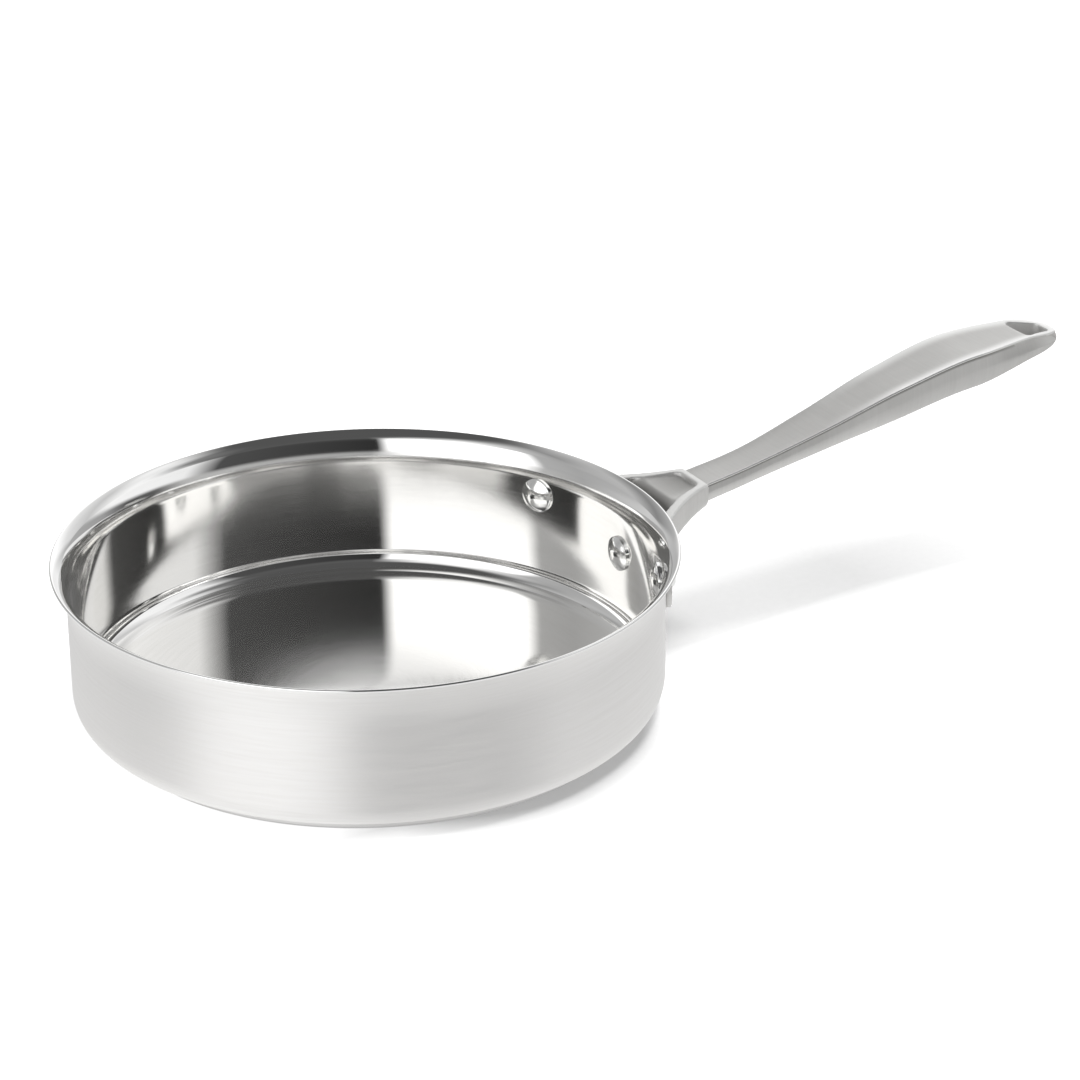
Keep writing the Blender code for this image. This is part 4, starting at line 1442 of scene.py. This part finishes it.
# %% The yoke's masks
ARM_SLACK = 0.0004
COLLAR_SLACK = 0.0006
FLANGE_CLEARING = 0.002
ARM_POLISH = 0.5
ARM_POLISH_START = 1.4
# Painted shade down in the pocket: the depth it reaches, the depth over which it darkens, where it starts
# and how dark it gets
POCKET_DEEPEST = 0.008
POCKET_SHADING = 0.002
POCKET_SHADE_START = 0.5
POCKET_SHADE = 0.9


def yoke_masks(points):
    """Polish on the arms' tops and the collar, which a wheel reaches, and painted shade down in the pocket.
    """
    x, y, z = points.T
    back = COLLAR_END - x
    below = yoke_top(x) - z
    past_arm = np.abs(y) - inner_half_width(x)
    on_arm = (past_arm > -ARM_SLACK) | (back < COLLAR_LENGTH + COLLAR_SLACK)
    on_arm &= x > WALL_RADIUS + FLANGE_CLEARING
    in_pocket = (past_arm < 2 * ARM_SLACK) & (back > COLLAR_LENGTH - COLLAR_SLACK) & (below < POCKET_DEEPEST)
    polish = np.where(on_arm, np.clip(ARM_POLISH_START - below / ARM_EDGE_RADIUS, 0, 1) * ARM_POLISH, 0.0)
    # The painted shade grows darker deeper in the pocket
    painted_darkness = np.clip(below / POCKET_SHADING - POCKET_SHADE_START, 0, 1) * POCKET_SHADE
    return polish, np.where(in_pocket, painted_darkness, 0.0)


polish, shade = yoke_masks(points_of(yoke))
set_masks(yoke, polish=polish, shade=shade)
dress(yoke, CAST)
print("buffed points on the yoke:", int((polish > ARM_POLISH / 2).sum()))

# %% [markdown]
# Handing the pieces to the frame
# Each finished piece rides on the pan's one body and stands for the imported solids that it refines. The
# disc in the base stays as packed, because its shape is already right.

# %% Riding and replacing
PIECES = (
    (vessel, ("pan_body",), "polished_stainless"),
    (cap, ("base_cap",), "base_stainless"),
    (grip, ("handle",), "cast_stainless"),
    (yoke, ("handle",), "cast_stainless"),
    (rivets, ("rivet_upper_left", "rivet_upper_right", "rivet_lower"), "rivet_stainless"),
)
for piece, nodes, slot in PIECES:
    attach(piece, "root")
    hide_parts(*nodes)
    print(piece.name, "stands for", ", ".join(nodes))

# %% [markdown]
# The size
# Both boxes, the imported pan's and the dressed pan's, are printed side by side.

# %% The two boxes
visual_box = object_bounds()
boxes = {"cad": [list(corner) for corner in cad_box], "visual": [list(corner) for corner in visual_box]}
for label, box in boxes.items():
    print(label, [round(value, 4) for corner in box for value in corner])
